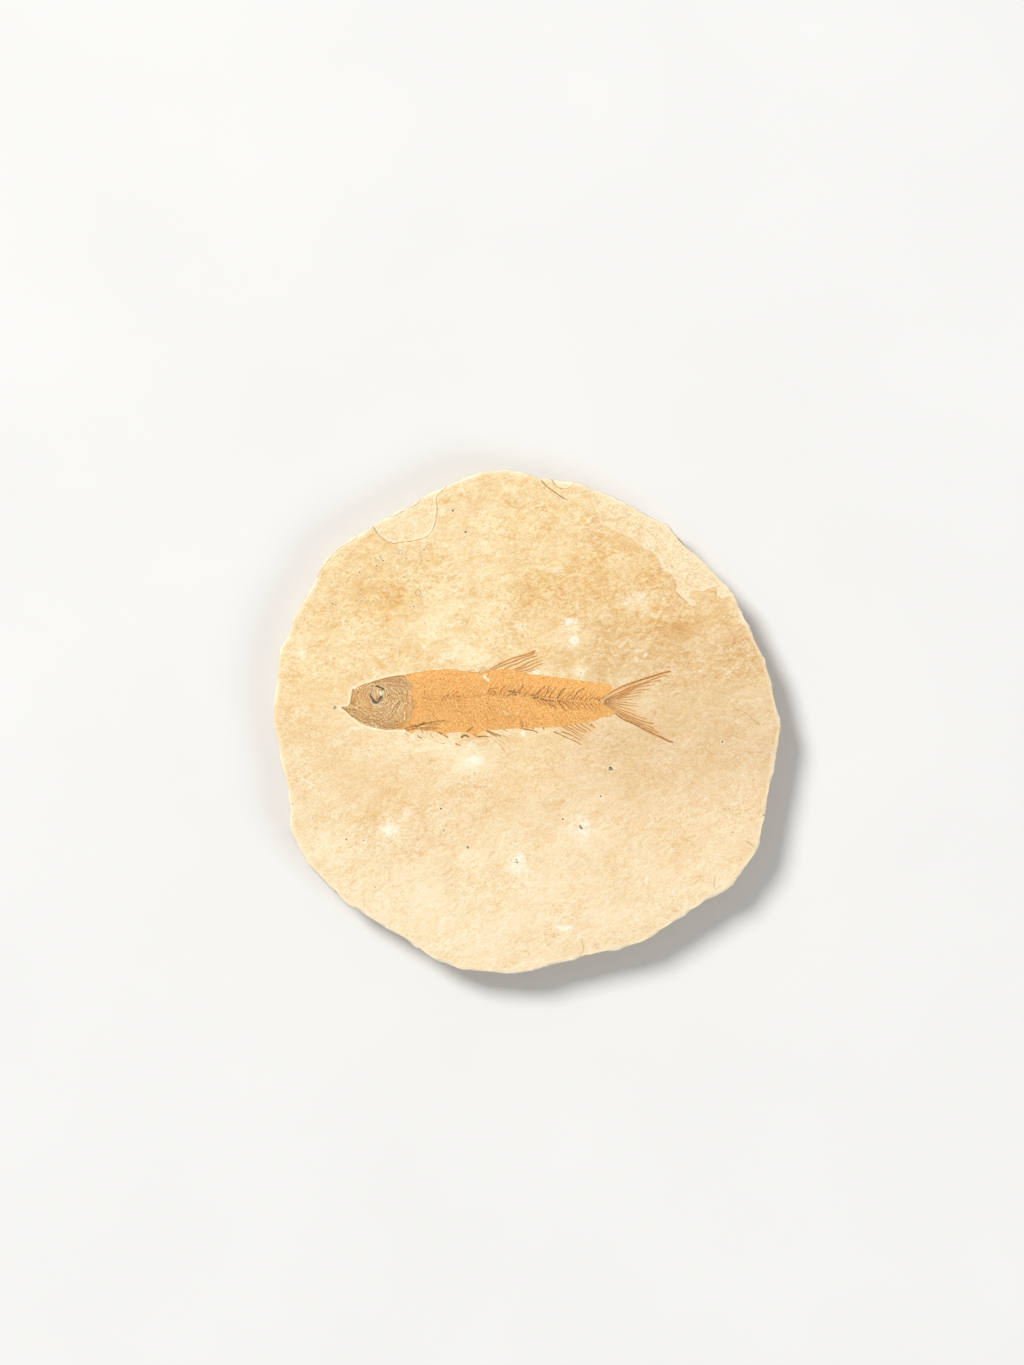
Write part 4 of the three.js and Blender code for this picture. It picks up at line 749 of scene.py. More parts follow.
# skull
for line, w, s, kind in [
    ([(377.0, 685.9), (379.0, 686.8), (381.2, 687.7)], 2.0, 1.0, "d"), ([(380.6, 687.4), (382.6, 688.4), (384.2, 689.8)], 1.5, 1.0, "d"), ([(380.2, 689.6), (382.8, 690.6)], 1.0, 0.5, "d"),
    ([(370.4, 693.8), (371.2, 696.0)], 1.6, 0.8, "d"), ([(371.2, 696.4), (372.0, 698.6), (373.2, 700.4)], 1.9, 1.0, "d"), ([(373.8, 701.2), (376.0, 702.2), (378.2, 702.0)], 3.6, 0.85, "k"),
    ([(374.6, 701.2), (376.6, 702.8)], 1.2, 0.8, "d"), ([(378.6, 700.4), (380.0, 698.8), (381.6, 697.0)], 3.3, 0.85, "k"), ([(379.6, 697.2), (381.2, 697.8)], 1.1, 0.8, "d"),
    ([(376.8, 698.8), (378.2, 697.2)], 0.9, 0.65, "d"), ([(380.2, 696.2), (382.4, 695.6)], 0.9, 0.85, "d"),
    ([(375.4, 690.4), (376.2, 695.4), (376.8, 699.4)], 1.1, 0.6, "b"), ([(373.0, 689.6), (373.2, 695.4)], 0.8, 0.5, "b"), ([(378.6, 690.6), (378.4, 694.6)], 0.8, 0.5, "b"),
    ([(384.6, 692.4), (385.0, 696.2)], 0.9, 0.55, "b"), ([(383.4, 703.4), (384.4, 704.4)], 1.0, 0.7, "d"), ([(381.6, 700.4), (382.4, 701.2)], 0.8, 0.6, "d"), ([(370.6, 688.0), (371.4, 691.2)], 0.9, 0.5, "b"),
    ([(379.8, 692.0), (381.6, 693.2), (381.2, 694.6)], 2.8, 1.0, "p"), ([(383.0, 691.2), (384.2, 693.2)], 1.2, 0.8, "p"), ([(377.4, 689.6), (377.2, 694.4)], 1.2, 0.85, "p"), ([(374.2, 692.2), (374.6, 698.2)], 1.1, 0.75, "p"),
    ([(385.8, 688.4), (388.2, 689.8)], 0.9, 0.7, "p"), ([(370.0, 701.4), (372.6, 704.0), (376, 705.4), (379.4, 706.2), (383.0, 706.6)], 1.0, 0.9, "p"), ([(384.2, 697.6), (386.0, 700.8), (385.0, 703.4)], 0.8, 0.6, "p"),
    ([(382.2, 702.2), (383.2, 702.8)], 1.2, 0.8, "p"), ([(374.2, 687.6), (373.6, 689.8)], 0.8, 0.6, "p"), ([(378.4, 703.8), (380.8, 702.4)], 0.8, 0.6, "p"), ([(367.4, 693), (369.0, 697.6)], 0.8, 0.5, "p"),
    # roof, snout, jaws
    ([(371, 683.4), (377.4, 680.9), (385, 678.9), (392.8, 677.2), (399, 676.4), (404, 676.6)], 1.3, 0.75, "b"), ([(375, 683.2), (383, 681.4), (391, 679.4), (396, 678.6)], 1.0, 0.7, "b"),
    ([(372.4, 681.2), (376, 682.6), (381, 680.2)], 1.8, 0.6, "b"), ([(360, 686.2), (366, 684.4), (371, 683.2)], 1.0, 0.55, "b"), ([(386, 681.6), (394, 681.4), (402, 682.6), (409, 684.8)], 0.9, 0.45, "g"),
    ([(398, 678), (402, 680.4), (406, 682.8)], 0.7, 0.4, "g"), ([(387, 684.6), (396, 685.8), (405, 686.4)], 0.9, 0.4, "g"), ([(390, 678.6), (397, 680), (404, 679)], 0.8, 0.35, "g"),
    ([(352.9, 689.6), (352.6, 694), (351.6, 698.8), (350.6, 703.4)], 1.5, 0.85, "b"), ([(355.2, 696.6), (353.4, 700), (351.8, 703.8)], 1.3, 0.75, "b"), ([(357.6, 698.4), (355, 701), (353, 704)], 1.0, 0.65, "b"),
    ([(354.6, 690.6), (353.8, 695)], 0.8, 0.5, "g"), ([(356, 691.6), (360, 689.6), (364, 689)], 0.8, 0.4, "b"), ([(355, 694), (359.6, 692.6), (364.2, 693)], 0.7, 0.35, "b"),
    ([(341, 707.7), (345.4, 708.6), (350, 709.2), (356, 709.6)], 1.2, 0.8, "b"), ([(341.8, 708.2), (346, 711), (350, 713.8), (355, 717.4), (361, 720.6), (368, 723.6), (374, 725.6)], 1.0, 0.8, "b"),
    ([(344, 709), (349.6, 711.6), (355, 714.8), (361, 718.4), (368, 721.8), (376, 724.6)], 0.7, 0.65, "b"), ([(347, 709.2), (352.6, 711.6), (358, 714.4), (364, 718), (371, 721.4), (380, 723.4)], 0.7, 0.6, "b"),
    ([(350, 709), (356, 711.4), (361.4, 714.6), (367, 718.2), (374, 720.6)], 0.7, 0.5, "b"), ([(354, 708.6), (359.6, 711), (364.6, 714.4), (370, 717.4)], 0.7, 0.45, "b"),
    ([(347.4, 709.8), (353.4, 712.8), (359.6, 716.4)], 0.5, 0.5, "p"), ([(352, 713.6), (358, 717), (364, 720)], 0.5, 0.45, "p"), ([(343, 708.6), (348, 711.4)], 0.5, 0.4, "p"),
    ([(351.6, 704.4), (356, 705.6), (361, 707.6)], 1.1, 0.6, "b"), ([(363, 685.6), (362, 690), (362.6, 694)], 0.8, 0.35, "b"), ([(366, 685), (365, 691), (365.8, 697)], 0.8, 0.35, "b"),
    ([(387.4, 686.6), (389.4, 691), (389.6, 696), (388.2, 701), (385.4, 704.6)], 0.9, 0.5, "b"), ([(369, 687), (367.4, 692), (367.6, 698), (369.4, 703), (373, 706.6)], 0.9, 0.45, "b"),
    # cheek, preopercle, opercle
    ([(399.4, 701), (396, 705.4), (393, 709.6), (391, 713)], 1.0, 0.7, "b"), ([(401, 702.4), (398, 706.4), (395.4, 710)], 0.8, 0.6, "b"), ([(397.4, 700.8), (394, 705), (391.4, 709)], 0.7, 0.6, "p"),
    ([(402.6, 703.8), (400, 707.4), (397, 711.6)], 0.8, 0.55, "p"), ([(393.6, 713.4), (391, 717), (388.6, 720)], 0.9, 0.5, "b"), ([(396.4, 712.4), (394, 716), (391.4, 719.6)], 0.7, 0.45, "b"),
    ([(404.6, 712), (404.8, 716), (404.2, 720)], 1.0, 0.8, "p"), ([(406.6, 711), (406.8, 715.6), (405.8, 720)], 0.8, 0.6, "b"), ([(402.6, 712), (402.8, 716), (402, 719.6)], 0.8, 0.6, "b"),
    ([(409.4, 712.6), (409, 717), (407, 721)], 0.7, 0.5, "p"), ([(391.6, 693), (396.4, 694.6), (401, 693.6), (405.6, 694.6)], 0.8, 0.5, "b"), ([(391, 697.4), (396, 698.6), (402, 697.2)], 0.9, 0.6, "b"),
    ([(396.6, 690.6), (400, 692.4), (404.6, 691.4)], 0.8, 0.4, "b"), ([(398, 703.8), (401, 700.4), (404, 701.6)], 1.4, 0.7, "b"), ([(407, 691.8), (406.6, 697), (407.6, 702), (407, 708)], 0.8, 0.5, "b"),
    ([(409.4, 690.6), (410.4, 697), (411.4, 703), (410.8, 710), (408.4, 717)], 0.7, 0.4, "p"), ([(403.4, 696), (406.4, 694)], 1.2, 0.5, "b"), ([(411.4, 696), (413, 702), (412.6, 709)], 0.8, 0.35, "b"),
    ([(385.6, 697.4), (388.6, 695.4), (391.6, 697), (394.6, 700)], 0.8, 0.5, "b"), ([(384, 709), (388, 707), (391.6, 704)], 0.8, 0.4, "b"), ([(376.6, 708.6), (381, 709.8), (386.4, 711.4)], 0.8, 0.4, "b"),
    ([(374, 711), (379.4, 713), (384, 716.4)], 0.8, 0.45, "b"), ([(372, 714), (377, 716.8), (383, 718.6), (389, 718)], 0.8, 0.5, "b"), ([(371.6, 706), (371, 710), (372.6, 714)], 0.8, 0.4, "b"),
    # gill covers' rays along the throat
    ([(374, 720.8), (380.6, 721.2), (387, 723.4), (394, 723), (400, 720.4)], 1.0, 0.75, "b"), ([(371, 719), (374.6, 722.4), (381, 724.6), (388, 725.8), (396, 725.2), (403, 722.6)], 0.9, 0.7, "b"),
    ([(376, 723), (382, 726.4), (389.6, 727.8), (397, 727.4), (404, 725.2)], 1.0, 0.7, "b"), ([(388.4, 719.6), (393.6, 721), (399, 718.6)], 0.8, 0.5, "b"),
    ([(372.6, 721.4), (378, 723.6), (386, 724.4), (394, 724.2), (401, 721.6)], 0.6, 0.6, "o"), ([(377, 725.2), (384, 727), (392, 726.8), (400, 724.6)], 0.6, 0.55, "o"),
    ([(384, 720), (390, 721.6), (396, 721)], 0.7, 0.6, "o"), ([(362, 695), (366, 698.6), (369.6, 704), (371.4, 709)], 5.0, 0.75, "o"), ([(361.6, 690.6), (366.4, 688.4)], 2.4, 0.4, "o"),
    ([(371.8, 722.4), (373, 725.6)], 1.2, 0.8, "p"), ([(375.2, 725.2), (376.8, 727.2)], 1.6, 0.9, "p"), ([(378, 725.8), (378.8, 727.6)], 1.0, 0.8, "p"), ([(399.6, 729.6), (401, 730.4)], 1.2, 0.7, "p"),
    ([(389, 713.6), (391.6, 711)], 0.9, 0.5, "p"), ([(384, 704.4), (388, 705.4)], 0.8, 0.4, "p"), ([(399, 689), (398.4, 692)], 0.7, 0.4, "p"), ([(404.6, 688.6), (404, 692.4)], 0.9, 0.4, "p"),
]:
    mark(line, w, w * 0.75, s, {"b": 0.09, "g": 0.08, "d": 0.05, "k": 0.05, "p": 0.02, "o": 0.04}[kind], kind)


# ------------------------------------------------------------------ the slab
FISH_LINE = mm(OUTLINE)


# Where the fins' film still tints the stone: outline and strength
FILMS = [
    ([(486, 671), (500, 663), (520, 655), (535, 650.5), (543, 658), (542, 664), (534, 670), (526, 674), (505, 670)], 0.36),
    ([(555, 728), (566, 736), (581, 744), (592, 734), (596, 727), (590, 721), (570, 722)], 0.62),
    ([(610, 690), (630, 683), (650, 676.4), (671, 671), (664, 679), (650, 686), (643, 692), (632, 699), (622, 702)], 0.5),
    ([(612, 712), (630, 722), (650, 732), (672, 742), (662, 731), (654, 723), (645, 717), (636, 708), (622, 702)], 0.5),
    ([(458, 731), (470, 740), (482, 739), (488, 734), (480, 730)], 0.7), ([(406, 729), (412, 736), (424, 734), (440, 736), (448, 733), (430, 729)], 0.35),
]


def make_slab():
    p, tris, zone, rings, face_end = ring_mesh()
    face = zone == 0
    cen = p[:, :2] - MID
    rad = np.hypot(cen[:, 0], cen[:, 1])
    ang = np.arctan2(cen[:, 1], cen[:, 0])
    f_rim, n_rim = rings[face_end - 1]
    th = np.arange(n_rim) * 2 * np.pi / n_rim
    top_r = rad[f_rim : f_rim + n_rim].copy()
    top_at = np.interp(np.mod(ang, 2 * np.pi), np.append(th, 2 * np.pi), np.append(top_r, top_r[0]))

    inner = face & (rad < top_at - 0.9)
    p[face] = nudge_to_scars(p[face], inner[face])
    sd, deep, ink, pale = scars(p[:, :2])
    x, y = p[:, 0], p[:, 1]
    under_fish = smooth(0.0, 0.35, -poly_sd(p[:, :2], FISH_LINE))
    # the face wears down a little towards its rim
    worn = 0.10 * smooth(2.2, 0.0, top_at - rad) * (0.6 + 0.5 * noise(x / 3.5, y / 3.5, 6.0, 15))
    tick = np.where(pale > 0, 0.03 * fbm(x / 1.1, y / 1.1, 7.0, 16, 3), 0)
    z_face = ground(x, y) + grain(x, y) * (1 - under_fish) - deep - 0.05 * under_fish - worn + tick
    local = np.interp(np.mod(ang, 2 * np.pi), np.append(th, 2 * np.pi), np.append(z_face[f_rim : f_rim + n_rim], z_face[f_rim]))
    p[face, 2] = z_face[face]
    side = (zone > 0) & (zone < 2)
    p[side, 2] *= (local / TOP)[side]

    # flat chart: the face and wall as one disc, the underside as another
    uv_r = np.zeros(len(p))
    uv_a = ang.copy()
    for k, (f, n) in enumerate(rings):
        if k < face_end:
            uv_r[f : f + n] = rad[f : f + n]
        elif zone[f] < 2:
            uv_r[f : f + n] = top_r + (k - face_end + 1) * 0.46
            uv_a[f : f + n] = th
        else:
            uv_r[f : f + n] = rad[f : f + n]
    ra, rb = 0.415, 0.160
    ka = ra / (max(top_r) + 26 * 0.46 + 0.5)
    kb = rb / (max(top_r) + 2.5)
    u = np.where(zone < 2, ra + 0.003 + ka * uv_r * np.cos(uv_a), 0.997 - rb + kb * rad * np.cos(ang))
    v = np.where(zone < 2, ra + 0.003 + ka * uv_r * np.sin(uv_a), 0.997 - rb - kb * rad * np.sin(ang))

    vec, which = nearest(p[:, :2], SPECKS, 0.8)
    table = np.array([(r, d) for _, _, r, d in SPECKS])
    speck = np.zeros((len(p), 3))
    speck[:, :2] = np.where((which >= 0)[:, None] & (zone < 2)[:, None], vec, 9)
    speck[:, 2] = np.where(which >= 0, table[which, 0] / DPM, 0.2)
    speck_d = np.where(which >= 0, table[which, 1], 0)
    vec, which = nearest(p[:, :2], RINGS, 1.3)
    table = np.array([(r, d) for _, _, r, _, d in RINGS])
    ring = np.zeros((len(p), 3))
    ring[:, :2] = np.where((which >= 0)[:, None] & (zone < 2)[:, None], vec, 9)
    ring[:, 2] = np.where(which >= 0, table[which, 0] / DPM, 0.5)
    ring_d = np.where(which >= 0, table[which, 1], 0)

    q = p[:, :2]
    face_ish = zone < 0.9
    d = poly_sd(q, FISH_LINE)
    wob = fbm(x / 1.1, y / 1.1, 8.0, 64, 2)
    u_of = DU + DPM * x
    halo = smooth(0.62, 0.18, d + 0.22 * wob) * smooth(418, 404, u_of) * face_ish
    halo = np.maximum(halo, 0.55 * smooth(0.5, 0.1, d + 0.5 * wob + 0.2) * smooth(400, 420, u_of) * smooth(600, 560, u_of) * face_ish)
    film = np.zeros(len(p))
    for piece, s in FILMS:
        line = curve(piece + piece[:1], 2.0)
        i = near(q, line, 1.0)
        film[i] = np.maximum(film[i], s * smooth(0.35, -0.45, poly_sd(q[i], line) + 0.25 * wob[i]))
    film *= face_ish
    atts = {
        "tone": blobs(q, [(*c[:5], c[5] * (1.35 if c[5] < 0 and c[1] > 740 else 1.0)) for c in CLOUDS], 1.3, 61) * face_ish,
        "chalk": spots(q, [(a, b, 1.35 * c + 0.4, 1.35 * d + 0.4, e) for a, b, c, d, e in SPOTS], 0.75, 62) * face_ish,
        "rust": spots(q, [(a, b, r, r, s) for a, b, r, s in RUST], 0.5, 63) * face_ish,
        "scar": np.stack([np.clip(sd, -3, 3), ink * face_ish, pale * face_ish], 1),
        "rim": np.where(face, top_at - rad, np.where(side, -(np.interp(np.mod(ang, 2 * np.pi), np.append(th, 2 * np.pi), np.append(local[f_rim : f_rim + n_rim], local[f_rim])) - p[:, 2]) - 0.02, -9)),
        "zone": zone,
        "speck": speck, "speck_d": speck_d, "ringlet": ring, "ringlet_d": ring_d,
        "hair": hairs(q), "halo": halo, "film": film,
    }
    ob = new_mesh("slab", p, tris, atts, sharp=50)
    loops = np.zeros(len(ob.data.loops), np.int32)
    ob.data.loops.foreach_get("vertex_index", loops)
    layer = ob.data.uv_layers.new(name="OFBake")
    # the ring joining the wall to the underside's chart belongs to the underside
    corner = np.stack([u[loops], v[loops]], 1)
    tri_zone = zone[loops].reshape(-1, 3)
    mixed = np.repeat((tri_zone.max(1) == 2) & (tri_zone.min(1) < 2), 3)
    fix = mixed & (zone[loops] < 2)
    lu = 0.997 - rb + kb * (rad + 1.6) * np.cos(ang)
    lv = 0.997 - rb - kb * (rad + 1.6) * np.sin(ang)
    corner[fix] = np.stack([lu[loops][fix], lv[loops][fix]], 1)
    layer.data.foreach_set("uv", corner.astype(np.float32).ravel())
    return ob


# ------------------------------------------------------------------ the fish's mesh
def level_mesh(x0, x1, y0, y1, h, field):
    """Triangles of the region where field(points) > 0, with an even border."""
    nx, ny = int((x1 - x0) / h) + 1, int((y1 - y0) / h) + 1
    gx, gy = np.meshgrid(x0 + h * np.arange(nx), y0 + h * np.arange(ny))
    pts = np.stack([gx.ravel(), gy.ravel()], 1)
    f = field(pts)
    f = np.where(np.abs(f) < 0.13 * h, np.where(f > 0, 0.13 * h, -0.13 * h), f)
    g = f.reshape(ny, nx)
    g[0], g[-1], g[:, 0], g[:, -1] = -1, -1, -1, -1
    f = g.ravel()
    j, i = np.meshgrid(np.arange(ny - 1), np.arange(nx - 1), indexing="ij")
    a = (j * nx + i).ravel()
    b, c, d = a + 1, a + nx + 1, a + nx
    odd = ((i + j) % 2).ravel() == 1
    t = np.vstack([np.stack([a, b, c], 1)[~odd], np.stack([a, c, d], 1)[~odd], np.stack([a, b, d], 1)[odd], np.stack([b, c, d], 1)[odd]])
    s = f[t] > 0
    n = s.sum(1)
    t, s, n = t[n > 0], s[n > 0], n[n > 0]

    def roll(tt, ss, value):
        k = np.argmax(ss == value, axis=1)
        r = np.arange(3)[None, :] + k[:, None]
        return np.take_along_axis(tt, r % 3, 1)

    full = t[n == 3]
    one = roll(t[n == 1], s[n == 1], True)
    two = roll(t[n == 2], s[n == 2], False)
    N = len(pts)
    key = lambda p, q: np.minimum(p, q).astype(np.int64) * N + np.maximum(p, q)
    keys = np.concatenate([key(one[:, 0], one[:, 1]), key(one[:, 0], one[:, 2]), key(two[:, 0], two[:, 1]), key(two[:, 0], two[:, 2])])
    uniq, inv = np.unique(keys, return_inverse=True)
    lo, hi = uniq // N, uniq % N
    w = f[lo] / (f[lo] - f[hi])
    epts = pts[lo] + w[:, None] * (pts[hi] - pts[lo])
    inside = np.nonzero(f > 0)[0]
    renum = np.full(N, -1)
    renum[inside] = np.arange(len(inside))
    base = len(inside)
    m1, m2 = len(one), len(two)
    e1a, e1b, e2a, e2b = np.split(inv + base, [m1, 2 * m1, 2 * m1 + m2])
    out = [renum[full], np.stack([renum[one[:, 0]], e1a, e1b], 1), np.stack([e2a, renum[two[:, 1]], renum[two[:, 2]]], 1), np.stack([e2a, renum[two[:, 2]], e2b], 1)]
    border = np.vstack([np.stack([e1a, e1b], 1), np.stack([e2b, e2a], 1)])
    points = np.vstack([pts[inside], epts])
    return points, np.vstack(out), border, base


def drop_small(points, tris, border, base, least):
    """Leaves out islands with fewer than `least` triangles."""
    parent = np.arange(len(points))
    for _ in range(200):
        m = parent[tris].min(1)
        before = parent.copy()
        for c in range(3):
            np.minimum.at(parent, tris[:, c], m)
        parent = parent[parent]
        if (parent == before).all():
            break
    count = np.bincount(parent[tris[:, 0]], minlength=len(points))
    keep_v = count[parent] >= least
    tris = tris[keep_v[tris[:, 0]]]
    border = border[keep_v[border[:, 0]]]
    order = np.cumsum(keep_v) - 1
    return points[keep_v], order[tris], order[border], int(keep_v[:base].sum())


def strokes(p, table, kinds=None):
    """For every kind of stroke, its strength at the points, and the summed relief."""
    out = {}
    rise = np.zeros(len(p))
    for points, w0, w1, strength, relief, kind in table:
        line = curve(points, 1.5)
        i = near(p, line, 1.0 * max(w0, w1) / DPM + 0.12)
        if not len(i):
            continue
        d, t, _ = seg_dist(p[i], line)
        half = 0.5 * (w0 + (w1 - w0) * t) / DPM * (1.45 if kind in "dk" else 1.36)
        broken = 0.75 + (0.6 if kind in "dk" else 0.35) * noise(p[i, 0] / (0.34 if kind in "dk" else 0.55), p[i, 1] / (0.34 if kind in "dk" else 0.55), 3.0, 71)
        a = smooth(1.35, 0.45, d / np.maximum(half * broken, 1e-6))
        o = out.setdefault(kind, np.zeros(len(p)))
        o[i] = np.maximum(o[i], a * strength)
        rise[i] = np.where(np.abs(a * relief) > np.abs(rise[i]), a * relief, rise[i])
    return out, rise


def make_fish():
    outline, fan, gill = mm(OUTLINE), curve(FAN + FAN[:1], 2.0), curve(GILL, 2.0)
    rays = [(curve(points, 1.6), w0, w1, relief, tone) for points, w0, w1, relief, tone in RAYS]

    def ray_field(p, want=False):
        best = np.full(len(p), -1.0)
        rise, tone, share, core = np.zeros(len(p)), np.zeros(len(p)), np.zeros(len(p)), np.zeros(len(p))
        for n, (line, w0, w1, relief, t0) in enumerate(rays):
            i = near(p, line, 0.6)
            d, t, _ = seg_dist(p[i], line)
            tail, back = line[0, 0] > 16, line[0, 1] > 10.5 and line[0, 0] > -9.6
            half = 0.5 * (w0 + (w1 - w0) * t) / DPM * (1.10 if tail else 1.55 if back else 1.32)
            crowd = 1 - 0.50 * smooth(0.45, 0.0, t) * tail - 0.62 * smooth(0.30, 0.0, t) * back
            half = half * crowd * (0.98 + 0.34 * noise(p[i, 0] / 0.9, p[i, 1] / 0.9, 0.3 * n, 72)) * smooth(0, 0.03, 1.015 - t)
            f = half - d
            b = f > best[i]
            k = i[b]
            best[k] = f[b]
            rise[k] = relief * smooth(0, 0.16, f[b] + 0.02)
            tone[k], share[k] = t0 * (0.4 if back else 1.0), t[b]
            core[k] = f[b] / np.maximum(half[b], 0.02)
        return (best, rise, tone, share, core) if want else best

    def field(p):
        f = np.full(len(p), -1.0)
        body_i = near(p, outline, 0.6)
        sd = poly_sd(p[body_i], outline)
        low = smooth(697, 722, DV - DPM * p[body_i, 1])
        wob = (0.05 + 0.05 * low) * fbm(p[body_i, 0] / 0.55, p[body_i, 1] / 0.55, 1.0, 73, 3)
        f[body_i] = -sd + wob
        fan_i = near(p, fan, 0.6)
        sf = poly_sd(p[fan_i], fan) + 0.06 * fbm(p[fan_i, 0] / 0.4, p[fan_i, 1] / 0.4, 2.0, 74, 2)
        f[fan_i] = np.maximum(f[fan_i], -sf)
        return np.maximum(f, ray_field(p))

    h = 0.112
    pts, tris, border, base = level_mesh(-43.4, 34.6, -8.2, 17.6, h, field)
    pts, tris, border, base = drop_small(pts, tris, border, base, 14)
    n = len(pts)
    x, y = pts[:, 0], pts[:, 1]

    d_body = -poly_sd(pts, outline)
    d_fan = -poly_sd(pts, fan)
    ray_f, ray_rise, ray_tone, ray_share, ray_core = ray_field(pts, True)
    is_body = smooth(-0.06, 0.10, d_body)
    # head: in front of the gill cover's edge
    gx = np.interp(-y, -gill[:, 1], gill[:, 0])
    d_head = gx - x
    head = smooth(-0.05, 0.12, d_head) * is_body
    kinds, rise = strokes(pts, MARKS)
    get = lambda k: kinds.get(k, np.zeros(n))

    # orbit
    oc = mm([(378.0, 696.2)])[0]
    ro = np.hypot((x - oc[0]) / 1.0, (y - oc[1]) / 1.12) + 0.30 * fbm(x / 1.1, y / 1.1, 3.0, 82, 3)
    orbit = smooth(2.15, 1.75, ro) * head
    rim_of_orbit = np.exp(-(((ro - 2.25) / 0.3) ** 2)) * head

    u, v = DU + DPM * x, DV - DPM * y
    edge = smooth(0, 0.9, np.maximum(d_body, 0))
    belly = smooth(0, 2.4, np.maximum(d_body, 0))
    height = 0.05 + is_body * (0.06 * edge + 0.11 * belly)
    tang = fbm(x / 0.62 + 0.5 * fbm(x / 1.2, y / 1.2, 0, 75, 2), y / 0.62, 4.0, 76, 3)
    ridge_h = 1 - np.abs(tang) * 1.6
    swirl = np.hypot(x - oc[0], (y - oc[1]) * 1.1)
    height += head * (0.16 * smooth(0, 1.4, np.minimum(d_head, d_body)) + 0.09 * np.clip(ridge_h, -0.2, 1) * smooth(0.1, 0.6, d_body))
    height += head * 0.018 * np.sin(swirl * 7.0 + 2.2 * tang) * smooth(2.3, 3.0, ro)
    height -= orbit * 0.05
    height += rim_of_orbit * 0.045
    # edge of the gill cover, a small step above the body
    height += 0.06 * np.exp(-((d_head / 0.22) ** 2)) * is_body * (u > 400)
    # flank: rib-like swells and a fine diagonal weave
    flank = is_body * (1 - head)
    along = np.interp(u, [410, 430, 460, 500, 540, 605], [0, 4, 11, 20, 29, 44])
    wave = np.sin((x * 1.0 - 0.42 * np.abs(y - np.interp(x, SPINE[:, 0], SPINE[:, 1])) ** 1.1) * 2 * np.pi / 1.016)
    bend = fbm(x / 2.6, y / 2.6, 3.0, 79, 2)
    patch = smooth(-0.15, 0.45, noise(x / 3.2, y / 2.4, 1.5, 80))
    under = smooth(0.3, -1.2, y - np.interp(x, SPINE[:, 0], SPINE[:, 1]))
    curl = np.sin((x + 0.55 * y) * 2 * np.pi / 0.60 + 5.5 * bend) * (0.1 + 0.9 * patch) * (0.4 + 0.6 * under) * (1 - 0.7 * smooth(508, 540, DU + DPM * x))
    height += flank * (0.006 * wave * smooth(0.1, 0.8, d_body) + 0.020 * curl)
    curl_ink = np.clip(curl, 0, 1) * flank * 0.34
    curl_light = np.clip(-curl, 0, 1) * flank * 0.34
    verm = fbm(x / 0.48, y / 0.40, 6.0, 81, 3)
    height += flank * 0.046 * verm
    weave = np.sin((x + 0.9 * y) * 2 * np.pi / 0.52) * np.sin((x - 1.3 * y) * 2 * np.pi / 0.66)
    height += flank * 0.006 * weave
    height += flank * 0.022 * fbm(x / 0.9, y / 0.9, 5.0, 77, 3)
    height += rise * np.where(is_body > 0.3, 1.0, 0.6)
    # the middle line of bones stands up
    sp_y = np.interp(x, SPINE[:, 0], SPINE[:, 1])
    height += flank * 0.06 * np.exp(-(((y - sp_y) / 0.75) ** 2)) * smooth(412, 425, u) * smooth(606, 598, u)
    # fan and rays
    out = 1 - is_body
    on_fan = smooth(-0.05, 0.1, d_fan)
    height = np.where(is_body > 0.5, height, 0.045 + 0.0 * height)
    height += on_fan * out * 0.03 + ray_rise * np.maximum(out, 0.5)
    height += 0.006 * noise(x / 0.25, y / 0.25, 2.0, 78)
    height = np.clip(height, 0.025, 0.62)

    g = ground(x, y) - 0.05 * smooth(0.0, 0.35, -poly_sd(pts, FISH_LINE))
    z = g + height
    on_border = np.zeros(n, bool)
    on_border[border.ravel()] = True
    z[on_border] = ground(x, y)[on_border] + np.clip(height[on_border] * 0.45, 0.025, 0.05)
    top = np.column_stack([x, y, z])

    # skirt and underside
    rim = np.unique(border)
    low_of = np.full(n, -1)
    low_of[rim] = n + np.arange(len(rim))
    low = np.column_stack([x[rim], y[rim], np.full(len(rim), TOP - 0.75)])
    a, b = border[:, 0], border[:, 1]
    skirt = np.vstack([np.stack([b, a, low_of[a]], 1), np.stack([b, low_of[a], low_of[b]], 1)])
    flat = [Vector((float(px), float(py))) for px, py in low[:, :2]]
    edges = [(int(low_of[p] - n), int(low_of[q] - n)) for p, q in border]
    cdt = delaunay_2d_cdt(flat, edges, [], 0, 1e-7)
    cp = np.array([tuple(c) for c in cdt[0]])
    faces = np.array([f for f in cdt[2] if len(f) == 3])
    lookup = np.array([n + o[0] if len(o) else -1 for o in cdt[3]])
    extra = [(cp[k][0], cp[k][1], TOP - 0.75) for k in np.nonzero(lookup < 0)[0]]
    lookup[lookup < 0] = n + len(low) + np.arange(len(extra))
    p0, p1, p2 = (cp[faces[:, c]] for c in range(3))
    turn = (p1[:, 0] - p0[:, 0]) * (p2[:, 1] - p0[:, 1]) - (p1[:, 1] - p0[:, 1]) * (p2[:, 0] - p0[:, 0])
    faces = lookup[np.where((turn < 0)[:, None], faces[:, [0, 2, 1]], faces)]
